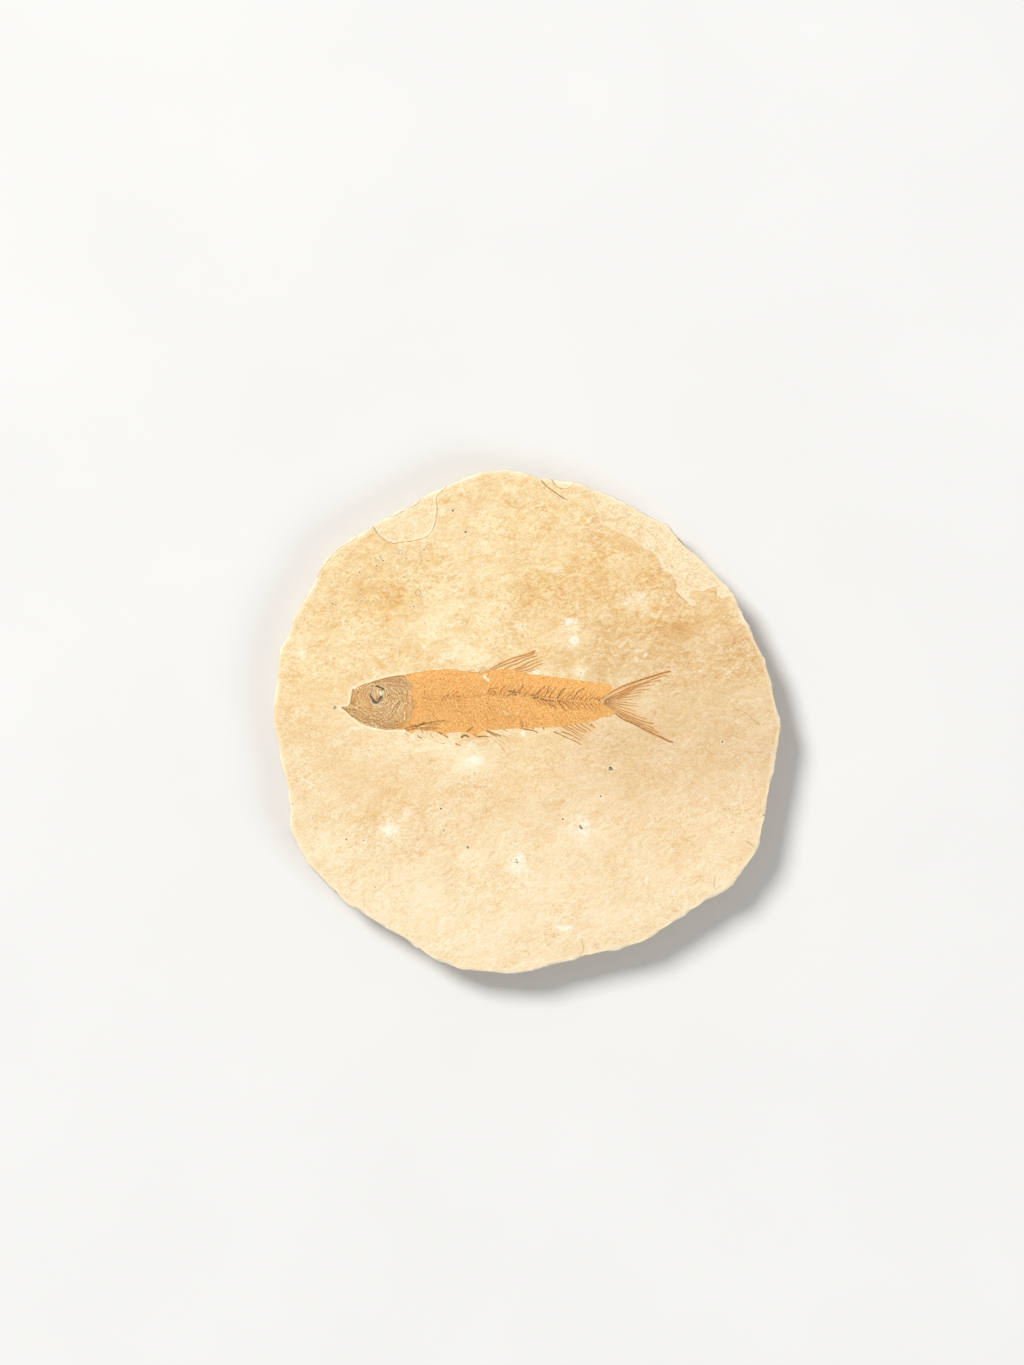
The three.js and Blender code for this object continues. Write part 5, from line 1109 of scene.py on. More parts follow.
    # keep the triangles inside the border: those on its left, and all they reach without crossing it
    walls = {(int(low_of[s]), int(low_of[e])) for s, e in border}
    owner, state = {}, {}
    for k, f in enumerate(faces):
        for e in ((f[0], f[1]), (f[1], f[2]), (f[2], f[0])):
            owner[(int(e[0]), int(e[1]))] = k
    todo = [owner[w] for w in walls if w in owner]
    for k in todo:
        state[k] = True
    while todo:
        f = faces[todo.pop()]
        for e in ((int(f[0]), int(f[1])), (int(f[1]), int(f[2])), (int(f[2]), int(f[0]))):
            k = owner.get((e[1], e[0]))
            if e not in walls and (e[1], e[0]) not in walls and k is not None and k not in state:
                state[k] = True
                todo.append(k)
    bottom = faces[sorted(state)]
    # face down
    q = np.vstack([top, low] + ([np.array(extra)] if extra else []))
    cross = (q[bottom[:, 1], 0] - q[bottom[:, 0], 0]) * (q[bottom[:, 2], 1] - q[bottom[:, 0], 1]) - (q[bottom[:, 1], 1] - q[bottom[:, 0], 1]) * (q[bottom[:, 2], 0] - q[bottom[:, 0], 0])
    bottom = np.where((cross > 0)[:, None], bottom[:, [0, 2, 1]], bottom)
    all_tris = np.vstack([tris, skirt, bottom])

    ext = lambda arr: np.concatenate([arr, arr[rim], np.zeros(len(extra))]) if arr.ndim == 1 else np.vstack([arr, arr[rim], np.zeros((len(extra), arr.shape[1]))])
    atts = {
        "head": head, "part": on_fan, "ray": smooth(-0.02, 0.05, ray_f) * np.maximum(out, on_fan), "ray_tone": ray_tone,
        "brown": np.maximum(get("b"), curl_ink), "grey": get("g"), "dark": get("d"), "light": np.maximum(get("l"), curl_light), "blue": get("k"), "pale": get("p"), "orange": get("o"),
        "orbit": orbit + 0.0, "orbit_rim": rim_of_orbit, "inward": np.clip(d_body, -1, 3), "behind": np.clip(-d_head, -3, 3),
        "share": ray_share, "spine": np.abs(y - sp_y), "loose": (d_body < -0.3).astype(float), "verm": verm, "core": smooth(0.05, 0.55, ray_core),
    }
    ob = new_mesh("fish", q, all_tris, {k: ext(np.asarray(w, float)) for k, w in atts.items()}, sharp=55)
    print("fish", len(q), "vertices", len(all_tris), "triangles", len(extra), "extra", "border", len(border))
    return ob


slab = make_slab()
print("slab", len(slab.data.vertices), len(slab.data.polygons))
fish = make_fish()
for ob, node, paint in ((slab, "limestone_slab", "limestone"), (fish, "fossil_fish", "fossil")):
    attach(ob, "root")
    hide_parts(node)


# ------------------------------------------------------------------ materials
LIT = 0.80  # the key and sky together give the face this much less than white needs


def lin(c):
    return tuple((v / 255 / 12.92 if v / 255 <= 0.04045 else ((v / 255 + 0.055) / 1.055) ** 2.4) * LIT for v in c) + (1.0,)


class Paint:
    """A short way to write node materials. Every method takes numbers or sockets and gives back a socket."""

    def __init__(self, name):
        self.m = bpy.data.materials.new(name)
        self.m.use_nodes = True
        self.t = self.m.node_tree
        self.t.nodes.clear()
        self.out = self.t.nodes.new("ShaderNodeOutputMaterial")
        self.bsdf = self.t.nodes.new("ShaderNodeBsdfPrincipled")
        self.t.links.new(self.bsdf.outputs["BSDF"], self.out.inputs["Surface"])
        at = self.t.nodes.new("ShaderNodeTexCoord")
        self.p = self.vmath("SCALE", at.outputs["Object"], scale=1000.0)

    def put(self, socket, value):
        if isinstance(value, bpy.types.NodeSocket):
            self.t.links.new(value, socket)
        else:
            socket.default_value = value

    def math(self, op, a, b=None, c=None, clamp=False):
        n = self.t.nodes.new("ShaderNodeMath")
        n.operation, n.use_clamp = op, clamp
        for s, v in zip(n.inputs, (a, b, c)):
            if v is not None:
                self.put(s, v)
        return n.outputs[0]

    def add(self, *v):
        out = v[0]
        for w in v[1:]:
            out = self.math("ADD", out, w)
        return out

    def mul(self, *v):
        out = v[0]
        for w in v[1:]:
            out = self.math("MULTIPLY", out, w)
        return out

    def vmath(self, op, a, b=None, scale=None):
        n = self.t.nodes.new("ShaderNodeVectorMath")
        n.operation = op
        self.put(n.inputs[0], a)
        if b is not None:
            self.put(n.inputs[1], b)
        if scale is not None:
            self.put(n.inputs["Scale"], scale)
        return n.outputs["Value"] if op in ("LENGTH", "DOT_PRODUCT", "DISTANCE") else n.outputs["Vector"]

    def xyz(self, v):
        n = self.t.nodes.new("ShaderNodeSeparateXYZ")
        self.put(n.inputs[0], v)
        return n.outputs[0], n.outputs[1], n.outputs[2]

    def vec(self, x, y, z):
        n = self.t.nodes.new("ShaderNodeCombineXYZ")
        for s, v in zip(n.inputs, (x, y, z)):
            self.put(s, v)
        return n.outputs[0]

    def turned(self, p, degrees, sx, sy, sz=1.0):
        """Coordinates turned about Z, then scaled: the marks come out lying along that direction."""
        n = self.t.nodes.new("ShaderNodeMapping")
        n.vector_type = "TEXTURE"
        self.put(n.inputs["Vector"], p)
        n.inputs["Rotation"].default_value = (0, 0, math.radians(degrees))
        n.inputs["Scale"].default_value = (sx, sy, sz)
        return n.outputs[0]

    def noise(self, p, scale=1.0, detail=3.0, rough=0.5, twist=0.0, lac=2.0):
        """About -1 to 1."""
        n = self.t.nodes.new("ShaderNodeTexNoise")
        n.noise_dimensions = "3D"
        self.put(n.inputs["Vector"], p)
        n.inputs["Scale"].default_value = scale
        n.inputs["Detail"].default_value = detail
        n.inputs["Roughness"].default_value = rough
        n.inputs["Lacunarity"].default_value = lac
        n.inputs["Distortion"].default_value = twist
        return self.math("MULTIPLY_ADD", n.outputs["Fac"], 4.0, -2.0)

    def cells(self, p, scale, feature="F1", randomness=1.0):
        n = self.t.nodes.new("ShaderNodeTexVoronoi")
        n.feature = feature
        self.put(n.inputs["Vector"], p)
        n.inputs["Scale"].default_value = scale
        n.inputs["Randomness"].default_value = randomness
        return n.outputs["Distance"]

    def step(self, e0, e1, x):
        n = self.t.nodes.new("ShaderNodeMapRange")
        n.interpolation_type = "SMOOTHSTEP"
        self.put(n.inputs["Value"], x)
        flip = e0 > e1
        n.inputs["From Min"].default_value = min(e0, e1)
        n.inputs["From Max"].default_value = max(e0, e1)
        n.inputs["To Min"].default_value = 1.0 if flip else 0.0
        n.inputs["To Max"].default_value = 0.0 if flip else 1.0
        return n.outputs["Result"]

    def attr(self, name):
        n = self.t.nodes.new("ShaderNodeAttribute")
        n.attribute_name = name
        return n

    def f(self, name):
        return self.attr(name).outputs["Fac"]

    def v(self, name):
        return self.xyz(self.attr(name).outputs["Vector"])

    def mix(self, fac, a, b, blend="MIX"):
        n = self.t.nodes.new("ShaderNodeMix")
        n.data_type, n.blend_type, n.clamp_factor = "RGBA", blend, True
        self.put(n.inputs[0], fac)
        self.put(n.inputs[6], lin(a) if isinstance(a, tuple) and len(a) == 3 else a)
        if isinstance(b, tuple) and len(b) == 3:
            b = lin(b)
            if blend == "MULTIPLY":  # a tint, so white leaves the colour as it is
                b = tuple(c / LIT for c in b[:3]) + (1.0,)
        self.put(n.inputs[7], b)
        return n.outputs[2]

    def ramp(self, fac, stops):
        n = self.t.nodes.new("ShaderNodeValToRGB")
        r = n.color_ramp
        while len(r.elements) > 1:
            r.elements.remove(r.elements[-1])
        r.elements[0].position, r.elements[0].color = stops[0][0], lin(stops[0][1])
        for at, c in stops[1:]:
            r.elements.new(at).color = lin(c)
        self.put(n.inputs[0], fac)
        return n.outputs[0]

    def bump(self, height, distance_mm, strength=1.0):
        n = self.t.nodes.new("ShaderNodeBump")
        n.inputs["Strength"].default_value = strength
        n.inputs["Distance"].default_value = distance_mm / 1000
        self.put(n.inputs["Height"], height)
        self.t.links.new(n.outputs["Normal"], self.bsdf.inputs["Normal"])

    def finish(self, colour, rough, specular=0.25):
        self.put(self.bsdf.inputs["Base Color"], colour)
        self.put(self.bsdf.inputs["Roughness"], rough)
        self.bsdf.inputs["Specular IOR Level"].default_value = specular
        return self.m


def limestone():
    k = Paint("limestone")
    p = k.p
    x, y, z = k.xyz(p)
    zone = k.f("zone")
    # bedding-plane fabric: near level in the upper half, rising to the right lower down
    low = k.step(-2.0, -24.0, y)
    warp = k.noise(p, 0.16, 2.0, 0.5)
    wp = k.vmath("ADD", p, k.vec(k.mul(warp, 0.8), k.mul(k.noise(k.vmath("ADD", p, (31.0, 7.0, 0.0)), 0.22, 2.0, 0.5), 0.8), 0.0))
    def both(scale, stretch, detail, rough, twist=0.0, off=0.0):
        q = k.vmath("ADD", wp, (off, -off * 0.7, 0.0))
        a = k.noise(k.turned(q, 8, stretch, 1.0), scale, detail, rough, twist)
        b = k.noise(k.turned(q, 30, stretch, 1.0), scale, detail, rough, twist)
        return k.add(k.mul(a, k.math("SUBTRACT", 1.0, low)), k.mul(b, low))
    broad = k.noise(wp, 0.085, 3.0, 0.55)
    wisps = both(0.40, 1.7, 7.0, 0.70, 0.2)
    fibre = both(1.25, 1.9, 5.0, 0.68, 0.15, 13.0)
    nap = k.noise(k.turned(p, 20, 1.4, 1.0), 2.7, 4.0, 0.7)
    thread = k.step(0.16, 0.02, k.math("ABSOLUTE", both(0.95, 2.2, 5.0, 0.66, 0.5, 40.0)))
    grit = k.noise(p, 5.4, 3.0, 0.62)
    upper = k.step(4.0, 14.0, y)
    cloud = k.f("tone")
    fleck = k.step(-0.55, 0.55, k.noise(k.turned(p, 12, 1.35, 1.0), 0.95, 7.0, 0.74))
    cloud = k.add(k.math("MAXIMUM", cloud, 0.0), k.mul(k.math("MINIMUM", cloud, 0.0), k.math("MULTIPLY_ADD", fleck, -0.75, 1.0)))
    act = k.math("MULTIPLY_ADD", k.step(-0.7, 0.7, k.noise(k.turned(p, 12, 1.5, 1.0), 0.15, 3.0, 0.6)), 0.8, 0.62)
    t = k.add(cloud, -0.17, k.mul(k.step(-12.0, -40.0, y), 0.24), k.mul(k.step(15.0, 46.0, x), k.step(-32.0, -8.0, y), -0.07), k.mul(broad, 0.12), k.mul(wisps, k.add(0.34, k.mul(upper, 0.10))), k.mul(fibre, act, k.add(0.36, k.mul(upper, 0.12))), k.mul(nap, act, k.add(0.38, k.mul(upper, 0.12))), k.mul(thread, act, -0.18), k.mul(grit, 0.44))
    # ragged cream cloudlets and yellow-tan stains, most of them in the upper half
    flakes = k.step(0.10, 0.55, both(0.62, 1.4, 7.0, 0.74, 0.3, 71.0))
    blots = k.step(0.15, 0.85, both(0.26, 1.5, 7.0, 0.70, 0.3, 97.0))
    t = k.add(t, k.mul(flakes, k.add(0.12, k.mul(upper, 0.24))))
    col = k.ramp(k.math("MULTIPLY_ADD", t, 0.5, 0.5), [(0.0, (220, 176, 119)), (0.2, (234, 199, 148)), (0.38, (242, 216, 171)), (0.5, (248, 227, 188)), (0.62, (251, 235, 200)), (0.78, (254, 243, 214)), (1.0, (255, 249, 231))])
    col = k.mix(k.mul(blots, k.add(0.22, k.mul(upper, 0.42))), col, k.mix(1.0, col, (251, 234, 190), "MULTIPLY"))
    col = k.mix(k.mul(k.math("MAXIMUM", k.mul(cloud, -1.0), 0.0), 0.9), col, k.mix(1.0, col, (253, 238, 196), "MULTIPLY"))
    col = k.mix(k.mul(k.step(-14.0, 10.0, y), 0.75), col, k.mix(1.0, col, (255, 251, 238), "MULTIPLY"))
    flits = k.mul(k.step(0.42, 0.80, k.noise(k.turned(p, 15, 1.3, 1.0), 1.25, 5.0, 0.76)), k.add(0.20, k.mul(upper, 0.45)))
    col = k.mix(flits, col, (255, 247, 222))
    # pinkish cast away from the yellow upper left
    pink = k.mul(k.step(-0.2, 0.9, k.add(k.mul(k.noise(p, 0.06, 2.0, 0.5), 0.6), k.mul(low, 0.45), k.step(-5.0, 45.0, x))), 0.35)
    col = k.mix(pink, col, k.mix(1.0, col, (250, 240, 236), "MULTIPLY"))
    greyer = k.mul(k.step(-2.0, 24.0, x), k.step(-26.0, -2.0, y), k.step(34.0, 14.0, y))
    col = k.mix(k.mul(greyer, 0.8), col, k.mix(1.0, col, (245, 246, 252), "MULTIPLY"))
    # losses along the rim: cleaner, paler stone, with a dark line at the step
    sd, ink, inside = k.v("scar")
    weak = k.mul(k.step(0.3, 0.0, ink), k.step(0.01, 0.06, ink))
    soft = k.mul(k.step(29.0, 22.0, x), weak)
    fade = k.math("SUBTRACT", 1.0, k.mul(soft, k.step(3.4, 0.2, k.add(k.mul(sd, -1.0), k.mul(wisps, 1.4), k.mul(fibre, 1.0)))))
    pocked = k.add(k.mul(fibre, 0.5), nap, k.mul(grit, 1.1))
    col = k.mix(k.mul(inside, fade, k.add(0.55, k.mul(weak, 0.22))), col, k.mix(k.math("MULTIPLY_ADD", pocked, 0.75, 0.60), (233, 199, 146), (255, 245, 214)))
    # a ragged pale band where the face wears away near the rim
    rim = k.add(k.f("rim"), k.mul(wisps, 0.30), k.mul(fibre, 0.20))
    col = k.mix(k.mul(k.step(0.85, 0.15, rim), 0.45), col, (255, 240, 208))
    # the bevel mixed towards near white all round: partly its paler broken stone, partly painted highlight against the
    # shade the lamps leave on it
    col = k.mix(k.mul(k.step(0.05, 0.30, zone), 0.85), col, k.mix(k.math("MULTIPLY_ADD", nap, 0.5, 0.5), (254, 238, 206), (255, 252, 236)))
    jag = k.add(sd, k.mul(k.noise(p, 2.6, 3.0, 0.6), 0.035))
    step_dark_line = k.mul(k.step(0.15, 0.03, k.math("ABSOLUTE", jag)), ink, k.math("MULTIPLY_ADD", k.noise(p, 1.3, 2.0, 0.5), 0.35, 0.75))
    lip = k.mul(k.step(0.45, 0.16, k.math("ABSOLUTE", k.math("ADD", jag, 0.30))), k.step(0.0, 0.1, ink))
    col = k.mix(k.mul(lip, 0.25), col, (255, 240, 208))
    col = k.mix(k.mul(step_dark_line, 0.9), col, (150, 112, 68))
    # iron stain that stops sharply at the stained layer's broken border
    stain = k.mul(k.step(1.6, 0.0, sd), k.step(-0.06, 0.02, jag), weak, k.step(-0.5, 0.7, k.noise(p, 0.22, 3.0, 0.6)))
    col = k.mix(k.mul(stain, 0.50), col, (232, 186, 124))
    # a brown line drawn along the step of the faint losses, away from the left side
    col = k.mix(k.mul(k.step(0.14, 0.02, k.math("ABSOLUTE", jag)), weak, k.math("SUBTRACT", 1.0, k.step(27.0, 23.0, x)), k.math("MULTIPLY_ADD", k.noise(p, 0.5, 2.0, 0.5), 0.5, 0.4)), col, (206, 156, 98))
    halo = k.mul(k.f("halo"), k.math("MULTIPLY_ADD", nap, 0.45, 0.8))
    col = k.mix(k.mul(halo, 0.95), col, (255, 246, 212))
    film = k.f("film")
    film = k.mul(k.step(0.15, 0.8, k.add(film, k.mul(film, k.add(wisps, nap), 0.7))), 0.78)
    col = k.mix(film, col, k.mix(k.step(4.0, 10.0, x), (240, 190, 124), (236, 196, 138)))
    # chalky spots, rust, specks, little rings and hairlines
    chalk = k.f("chalk")
    chalk = k.step(0.08, 1.15, k.add(chalk, k.mul(chalk, wisps, 0.55), k.mul(chalk, k.add(fibre, nap), 0.45)))
    col = k.mix(k.mul(chalk, 0.95), col, (255, 250, 232))
    rust = k.f("rust")
    col = k.mix(k.mul(k.math("MAXIMUM", k.add(rust, k.mul(rust, fibre, 0.6)), 0.0), 0.62), col, (206, 148, 84))
    sx, sy, sr = k.v("speck")
    wob = k.mul(k.noise(p, 3.5, 2.0, 0.5), 0.045)
    sdist = k.add(k.math("POWER", k.add(k.mul(sx, sx), k.mul(sy, sy)), 0.5), wob)
    col = k.mix(k.mul(k.step(0.42, 0.12, k.math("SUBTRACT", sdist, sr)), k.f("speck_d"), 0.5), col, (255, 246, 220))
    speck = k.mul(k.step(0.05, -0.06, k.math("SUBTRACT", sdist, sr)), k.f("speck_d"))
    col = k.mix(k.mul(speck, 0.95), col, (96, 70, 44))
    rx, ry, rr = k.v("ringlet")
    rdist = k.math("ABSOLUTE", k.math("SUBTRACT", k.add(k.math("POWER", k.add(k.mul(rx, rx), k.mul(ry, ry)), 0.5), wob), rr))
    col = k.mix(k.mul(k.step(0.14, 0.04, rdist), k.f("ringlet_d")), col, (150, 108, 64))
    hd, hw, hs = k.v("hair")
    hair = k.step(1.5, 0.5, k.math("DIVIDE", k.math("ABSOLUTE", k.add(hd, k.mul(wob, 0.9))), k.math("MAXIMUM", hw, 0.02)))
    col = k.mix(k.mul(hair, k.math("MAXIMUM", hs, 0.0)), col, (140, 104, 66))
    col = k.mix(k.mul(hair, k.math("MAXIMUM", k.mul(hs, -1.0), 0.0)), col, (255, 246, 224))
    # scattered pin-prick dots, more in the upper left
    dots = k.mul(k.step(0.13, 0.05, k.cells(p, 0.36)), k.step(0.1, 0.7, k.add(k.noise(p, 0.13, 2.0, 0.5), k.mul(upper, k.step(10.0, -30.0, x), 0.6))))
    col = k.mix(k.mul(dots, 0.4), col, (170, 126, 78))
    # rim: a painted highlight on the bevel along the lower right, the side turned away from the key light, then the
    # broken edge
    painted_bevel_highlight = k.mul(k.step(0.02, 0.2, zone), k.step(0.75, 0.4, zone))
    col = k.mix(k.mul(painted_bevel_highlight, k.step(-10.0, 30.0, k.add(x, k.mul(y, -1.0))), 0.8), col, (0.98, 0.90, 0.74, 1.0))
    edge = k.step(0.62, 0.95, zone)
    broken = k.mix(k.math("MULTIPLY_ADD", k.noise(p, 0.9, 4.0, 0.65), 0.35, 0.5), (228, 196, 146), (246, 224, 184))
    layer = k.noise(k.vec(k.mul(x, 0.05), k.mul(y, 0.05), k.mul(k.add(z, k.mul(k.noise(p, 0.12, 2.0, 0.5), 0.25)), 1.5)), 1.0, 4.0, 0.6)
    seam = k.step(0.10, 0.0, k.math("ABSOLUTE", k.noise(k.vec(k.mul(x, 0.04), k.mul(y, 0.04), k.add(k.mul(z, 0.55), k.mul(k.noise(p, 0.1, 2.0, 0.5), 0.14))), 1.0, 2.0, 0.5)))
    broken = k.mix(k.mul(k.math("MAXIMUM", layer, 0.0), 0.55), broken, (222, 188, 136))
    broken = k.mix(k.mul(seam, 0.45), broken, (190, 152, 104))
    stain = k.step(0.25, 0.9, k.noise(p, 0.28, 4.0, 0.62))
    broken = k.mix(k.mul(stain, 0.45), broken, (214, 170, 112))
    col = k.mix(k.mul(edge, 0.9), col, broken)
    # underside: a duller bedding plane
    under = k.step(1.2, 1.9, zone)
    dull = k.mix(k.math("MULTIPLY_ADD", k.add(broad, wisps), 0.3, 0.5), (222, 190, 142), (244, 222, 182))
    dull = k.mix(k.mul(k.step(0.4, 1.0, k.noise(p, 0.35, 4.0, 0.6)), 0.6), dull, (196, 152, 100))
    dull = k.mix(k.mul(k.step(0.12, 0.05, k.cells(p, 0.4)), 0.5), dull, (120, 88, 56))
    col = k.mix(under, col, dull)
    height = k.add(k.mul(fibre, 0.7), k.mul(nap, 0.8), k.mul(grit, 0.45), k.mul(k.noise(p, 11.0, 2.0, 0.6), 0.2), k.mul(edge, k.noise(p, 2.2, 4.0, 0.65), 1.5), k.mul(speck, -1.5))
    k.bump(height, 0.034)
    return k.finish(col, k.math("MULTIPLY_ADD", grit, 0.05, 0.86), 0.2)


def fossil():
    k = Paint("fossil")
    p = k.p
    x, y, z = k.xyz(p)
    inward, behind = k.f("inward"), k.f("behind")
    head, part, ray = k.f("head"), k.f("part"), k.f("ray")
    body = k.step(-0.05, 0.09, inward)
    # flank: orange film, mottled and finely wrinkled
    mott = k.noise(p, 0.32, 5.0, 0.66, 0.3)
    small = k.noise(k.turned(p, -28, 1.5, 1.0), 1.2, 5.0, 0.70, 0.3)
    fine = k.noise(p, 3.0, 4.0, 0.68)
    grain = k.noise(p, 5.6, 2.0, 0.6)
    w1 = k.math("SINE", k.add(k.mul(x, 11.2), k.mul(y, 10.1), k.mul(small, 2.4)))
    w2 = k.math("SINE", k.add(k.mul(x, 9.3), k.mul(y, -12.2), k.mul(small, 2.4)))
    verm = k.f("verm")
    t = k.add(k.mul(mott, 0.10), k.mul(small, 0.22), k.mul(fine, 0.58), k.mul(grain, 0.58), k.mul(w1, 0.12), k.mul(w2, 0.12), k.mul(verm, 0.56))
    col = k.ramp(k.math("MULTIPLY_ADD", t, 0.5, 0.51), [(0.0, (200, 126, 56)), (0.22, (226, 152, 74)), (0.40, (241, 171, 91)), (0.55, (249, 186, 105)), (0.75, (253, 204, 130)), (1.0, (255, 226, 168))])
    wash = k.mul(k.step(0.1, 1.1, k.add(k.noise(p, 0.5, 4.0, 0.6), k.step(-2.5, -5.0, y), -0.35)), 0.18)
    col = k.mix(wash, col, (238, 190, 130))
    # head: greyer brown bone with tangled ridges, turning orange towards the gill cover
    tangle = k.math("ABSOLUTE", k.noise(p, 1.5, 3.0, 0.60, 1.3))
    tangle2 = k.math("ABSOLUTE", k.noise(k.vmath("ADD", p, (9.0, 4.0, 0.0)), 2.6, 3.0, 0.60, 0.9))
    bone = k.mix(k.math("MULTIPLY_ADD", k.add(k.mul(k.noise(p, 0.8, 3.0, 0.6), 0.5), k.mul(fine, 1.1), k.mul(grain, 0.8)), 0.5, 0.55), (240, 186, 120), (255, 226, 166))
    crown = k.mul(k.step(6.6, 8.0, y), k.step(-33.6, -31.4, x), 0.6)
    bone = k.mix(crown, bone, k.mix(k.math("MULTIPLY_ADD", fine, 0.4, 0.5), (206, 152, 100), (228, 178, 126)))
    plain = k.math("SUBTRACT", 1.0, k.mul(crown, 0.8))
    bone = k.mix(k.mul(k.step(0.22, 0.04, tangle), plain, 0.34), bone, (176, 118, 66))
    bone = k.mix(k.mul(k.step(0.20, 0.03, tangle2), plain, 0.30), bone, (170, 114, 64))
    bone = k.mix(k.mul(k.step(0.42, 0.75, tangle), plain, 0.6), bone, (255, 232, 186))
    away = k.vmath("LENGTH", k.vmath("SUBTRACT", k.vmath("MULTIPLY", p, (1.0, 1.1, 0.0)), (-33.6, 6.2, 0.0)))
    twist = k.noise(p, 0.62, 3.0, 0.6)
    whorl = k.math("SINE", k.add(k.mul(away, 9.6), k.mul(twist, 5.2)))
    cross = k.math("SINE", k.add(k.mul(x, 6.6), k.mul(y, 8.6), k.mul(k.noise(k.vmath("ADD", p, (3.0, 8.0, 0.0)), 0.7, 3.0, 0.6), 5.6)))
    pick = k.step(-0.15, 0.25, k.noise(k.vmath("ADD", p, (17.0, 3.0, 0.0)), 0.75, 2.0, 0.5))
    ridge = k.add(k.mul(whorl, k.math("SUBTRACT", 1.0, pick)), k.mul(cross, pick))
    bone = k.mix(k.mul(k.step(0.15, 0.95, ridge), plain, k.math("MULTIPLY_ADD", fine, 0.4, 0.62)), bone, (255, 230, 178))
    bone = k.mix(k.mul(k.step(-0.15, -0.95, ridge), plain, k.math("MULTIPLY_ADD", grain, 0.4, 0.62)), bone, (176, 118, 66))
    warm = k.mul(k.step(-4.0, -0.2, behind), k.step(7.4, 4.6, y), 0.92)
    bone = k.mix(warm, bone, col)
    cheek = k.mul(k.step(4.4, 2.2, k.vmath("LENGTH", k.vmath("SUBTRACT", k.vmath("MULTIPLY", p, (1.0, 1.0, 0.0)), (-36.4, 4.4, 0.0)))), 0.45)
    bone = k.mix(k.mul(cheek, k.step(-0.6, 0.6, k.add(fine, small))), bone, (248, 196, 128))
    col = k.mix(head, col, bone)
    col = k.mix(k.mul(k.f("orange"), 0.85), col, k.mix(k.math("MULTIPLY_ADD", fine, 0.3, 0.5), (230, 160, 94), (244, 186, 122)))
    # orbit
    orb = k.f("orbit")
    col = k.mix(k.mul(orb, 0.6), col, k.mix(k.math("MULTIPLY_ADD", k.noise(p, 2.2, 3.0, 0.6), 0.6, 0.5), (216, 162, 100), (255, 226, 176)))
    # tail base fan
    fan = k.mix(k.math("MULTIPLY_ADD", k.noise(k.turned(p, 0, 2.0, 1.0), 1.8, 4.0, 0.65), 0.45, 0.5), (228, 176, 114), (248, 208, 148))
    col = k.mix(k.mul(part, k.math("MULTIPLY_ADD", fine, 0.25, 0.86)), col, fan)
    # rays: brown, breaking up into lighter joints towards their tips
    tone = k.f("ray_tone")
    joint = k.step(-0.1, 0.7, k.noise(p, 2.1, 3.0, 0.6))
    rc = k.mix(tone, (242, 188, 122), (238, 188, 128))
    root = k.mul(k.step(0.42, 0.0, k.f("share")), k.step(0.0, 0.10, k.f("share")))
    core = k.mul(k.f("core"), k.add(0.34, k.mul(tone, 0.66), k.mul(root, 0.2)), k.math("MULTIPLY_ADD", joint, -0.50, 1.0))
    scute = k.mul(k.step(10.0, 8.0, x), k.step(-1.0, -2.2, y))
    rc = k.mix(core, rc, k.mix(k.mul(scute, k.step(0.5, 0.85, tone)), k.mix(root, (164, 102, 54), (138, 92, 52)), (96, 66, 38)))
    rc = k.mix(k.mul(k.step(0.3, 1.0, fine), 0.3), rc, (240, 194, 134))
    col = k.mix(k.mul(ray, 0.95), col, rc)
    # marks
    worn = k.math("MULTIPLY_ADD", k.noise(p, 2.4, 3.0, 0.6), 0.45, 0.85)
    col = k.mix(k.mul(k.f("light"), worn), col, (255, 216, 146))
    col = k.mix(k.mul(k.f("brown"), worn, k.math("SUBTRACT", 1.30, k.mul(head, 0.30))), col, (174, 106, 44))
    col = k.mix(k.mul(k.f("grey"), worn, k.math("SUBTRACT", 1.15, k.mul(head, 0.35))), col, (122, 88, 54))
    col = k.mix(k.mul(k.f("pale"), k.math("MULTIPLY_ADD", fine, 0.2, 1.0)), col, (255, 245, 212))
    col = k.mix(k.mul(k.f("dark"), 0.95), col, (62, 44, 32))
    col = k.mix(k.mul(k.f("blue"), 0.95), col, (70, 68, 70))
    # the film's edge thins out to stone colour
    thin = k.mul(k.step(0.20, -0.05, k.add(inward, k.mul(fine, 0.05))), body)
    col = k.mix(k.mul(thin, 0.45), col, (208, 150, 90))
    height = k.add(k.mul(small, 0.5), k.mul(fine, 0.8), k.mul(grain, 0.4), k.mul(head, k.step(0.30, 0.0, tangle), -1.0))
    k.bump(height, 0.055)
    return k.finish(col, k.math("MULTIPLY_ADD", fine, 0.05, 0.62), 0.3)


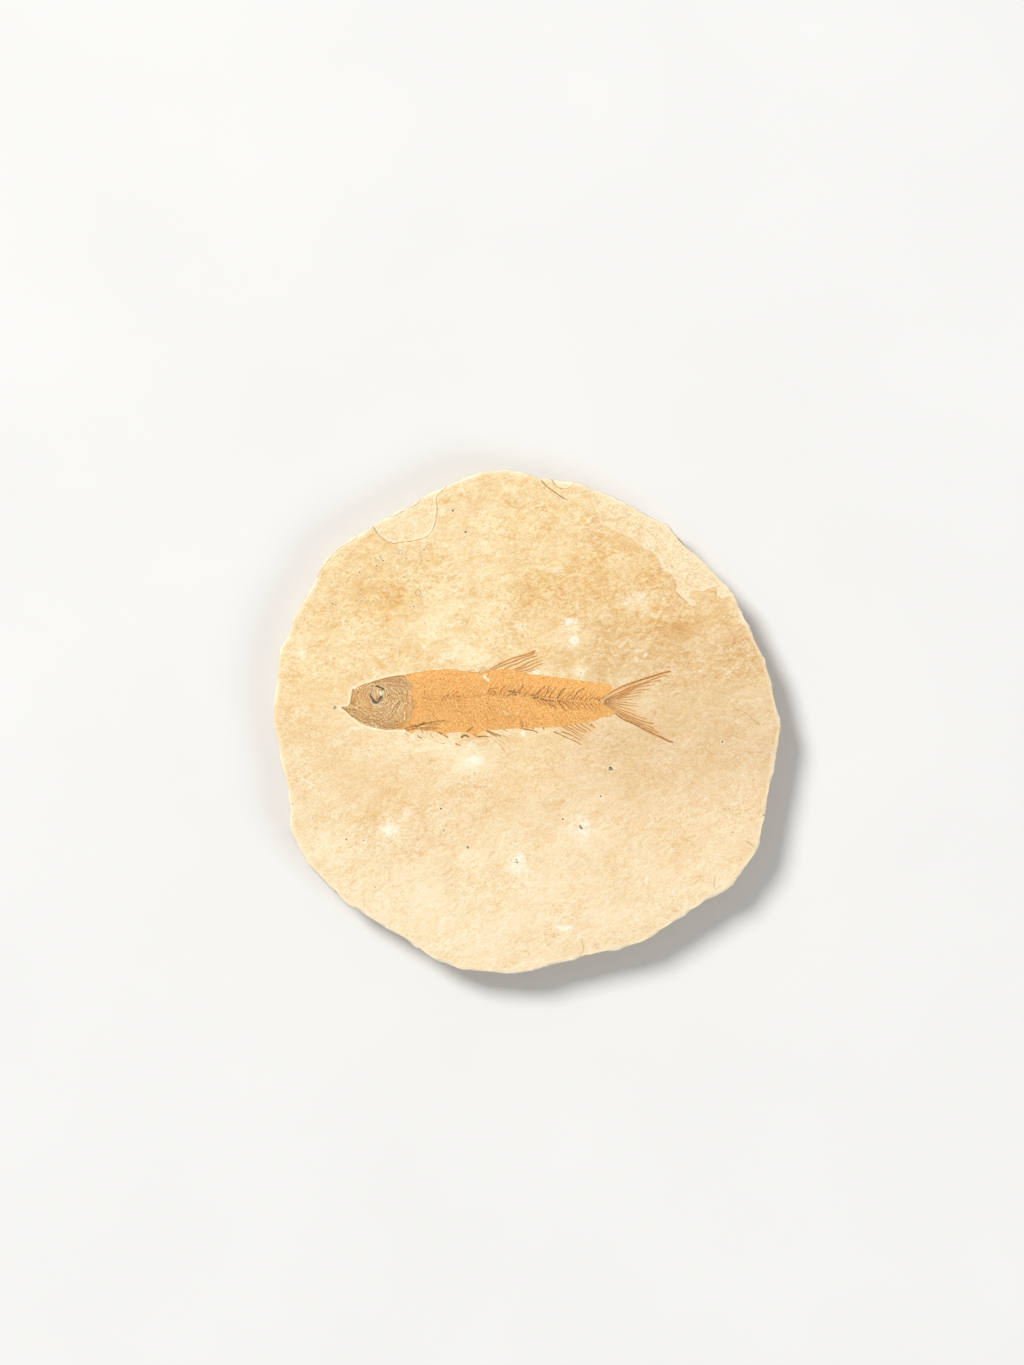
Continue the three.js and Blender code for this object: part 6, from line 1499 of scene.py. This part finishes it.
slab.data.materials.append(limestone())
fish.data.materials.append(fossil())

# ------------------------------------------------------------------ floor, light and camera
floor = bpy.data.objects.new("floor", bpy.data.meshes.new("floor"))
floor.data.from_pydata([(-3, -3, -0.0002), (3, -3, -0.0002), (3, 3, -0.0002), (-3, 3, -0.0002)], [], [(0, 1, 2, 3)])
bpy.context.scene.collection.objects.link(floor)
k = Paint("floor")
k.finish(k.mix(k.math("MULTIPLY_ADD", k.noise(k.p, 0.02, 3.0, 0.5), 0.2, 0.5), (232, 232, 231), (240, 240, 239)), 0.9, 0.1)
floor.data.materials.append(k.m)


def area(name, at, aim, size, power, colour):
    lamp = bpy.data.lights.new(name, "AREA")
    lamp.shape, lamp.size, lamp.energy, lamp.color = "DISK", size, power, colour
    ob = bpy.data.objects.new(name, lamp)
    ob.location = at
    ob.rotation_euler = (Vector(aim) - Vector(at)).to_track_quat("-Z", "Y").to_euler()
    bpy.context.scene.collection.objects.link(ob)
    return ob


area("key", (-2.6, 2.5, 3.5), (0, 0, 0), 1.7, 285.0, (1.0, 0.99, 0.97))
area("fill", (3.4, -2.4, 3.4), (0, 0, 0), 3.0, 95.0, (0.98, 0.99, 1.0))
world = bpy.data.worlds.new("sky")
world.use_nodes = True
world.node_tree.nodes["Background"].inputs[0].default_value = (1.0, 0.99, 0.975, 1)
world.node_tree.nodes["Background"].inputs[1].default_value = 0.42
bpy.context.scene.world = world

lens = bpy.data.cameras.new("camera")
lens.lens, lens.sensor_width, lens.sensor_fit = 100.0, 36.0, "AUTO"
lens.clip_start, lens.clip_end = 0.05, 20.0
lens.dof.use_dof = False
camera = bpy.data.objects.new("camera", lens)
bpy.context.scene.collection.objects.link(camera)
wide = 1365 / DPM * 100.0 / 36.0 / 1000
camera.location = ((512 - DU) / DPM / 1000, (DV - 682.5) / DPM / 1000, TOP / 1000 + wide)
camera.rotation_euler = (0, 0, 0)
bpy.context.scene.camera = camera
bpy.context.scene.view_settings.view_transform = "Standard"
bpy.context.scene.view_settings.look = "None"
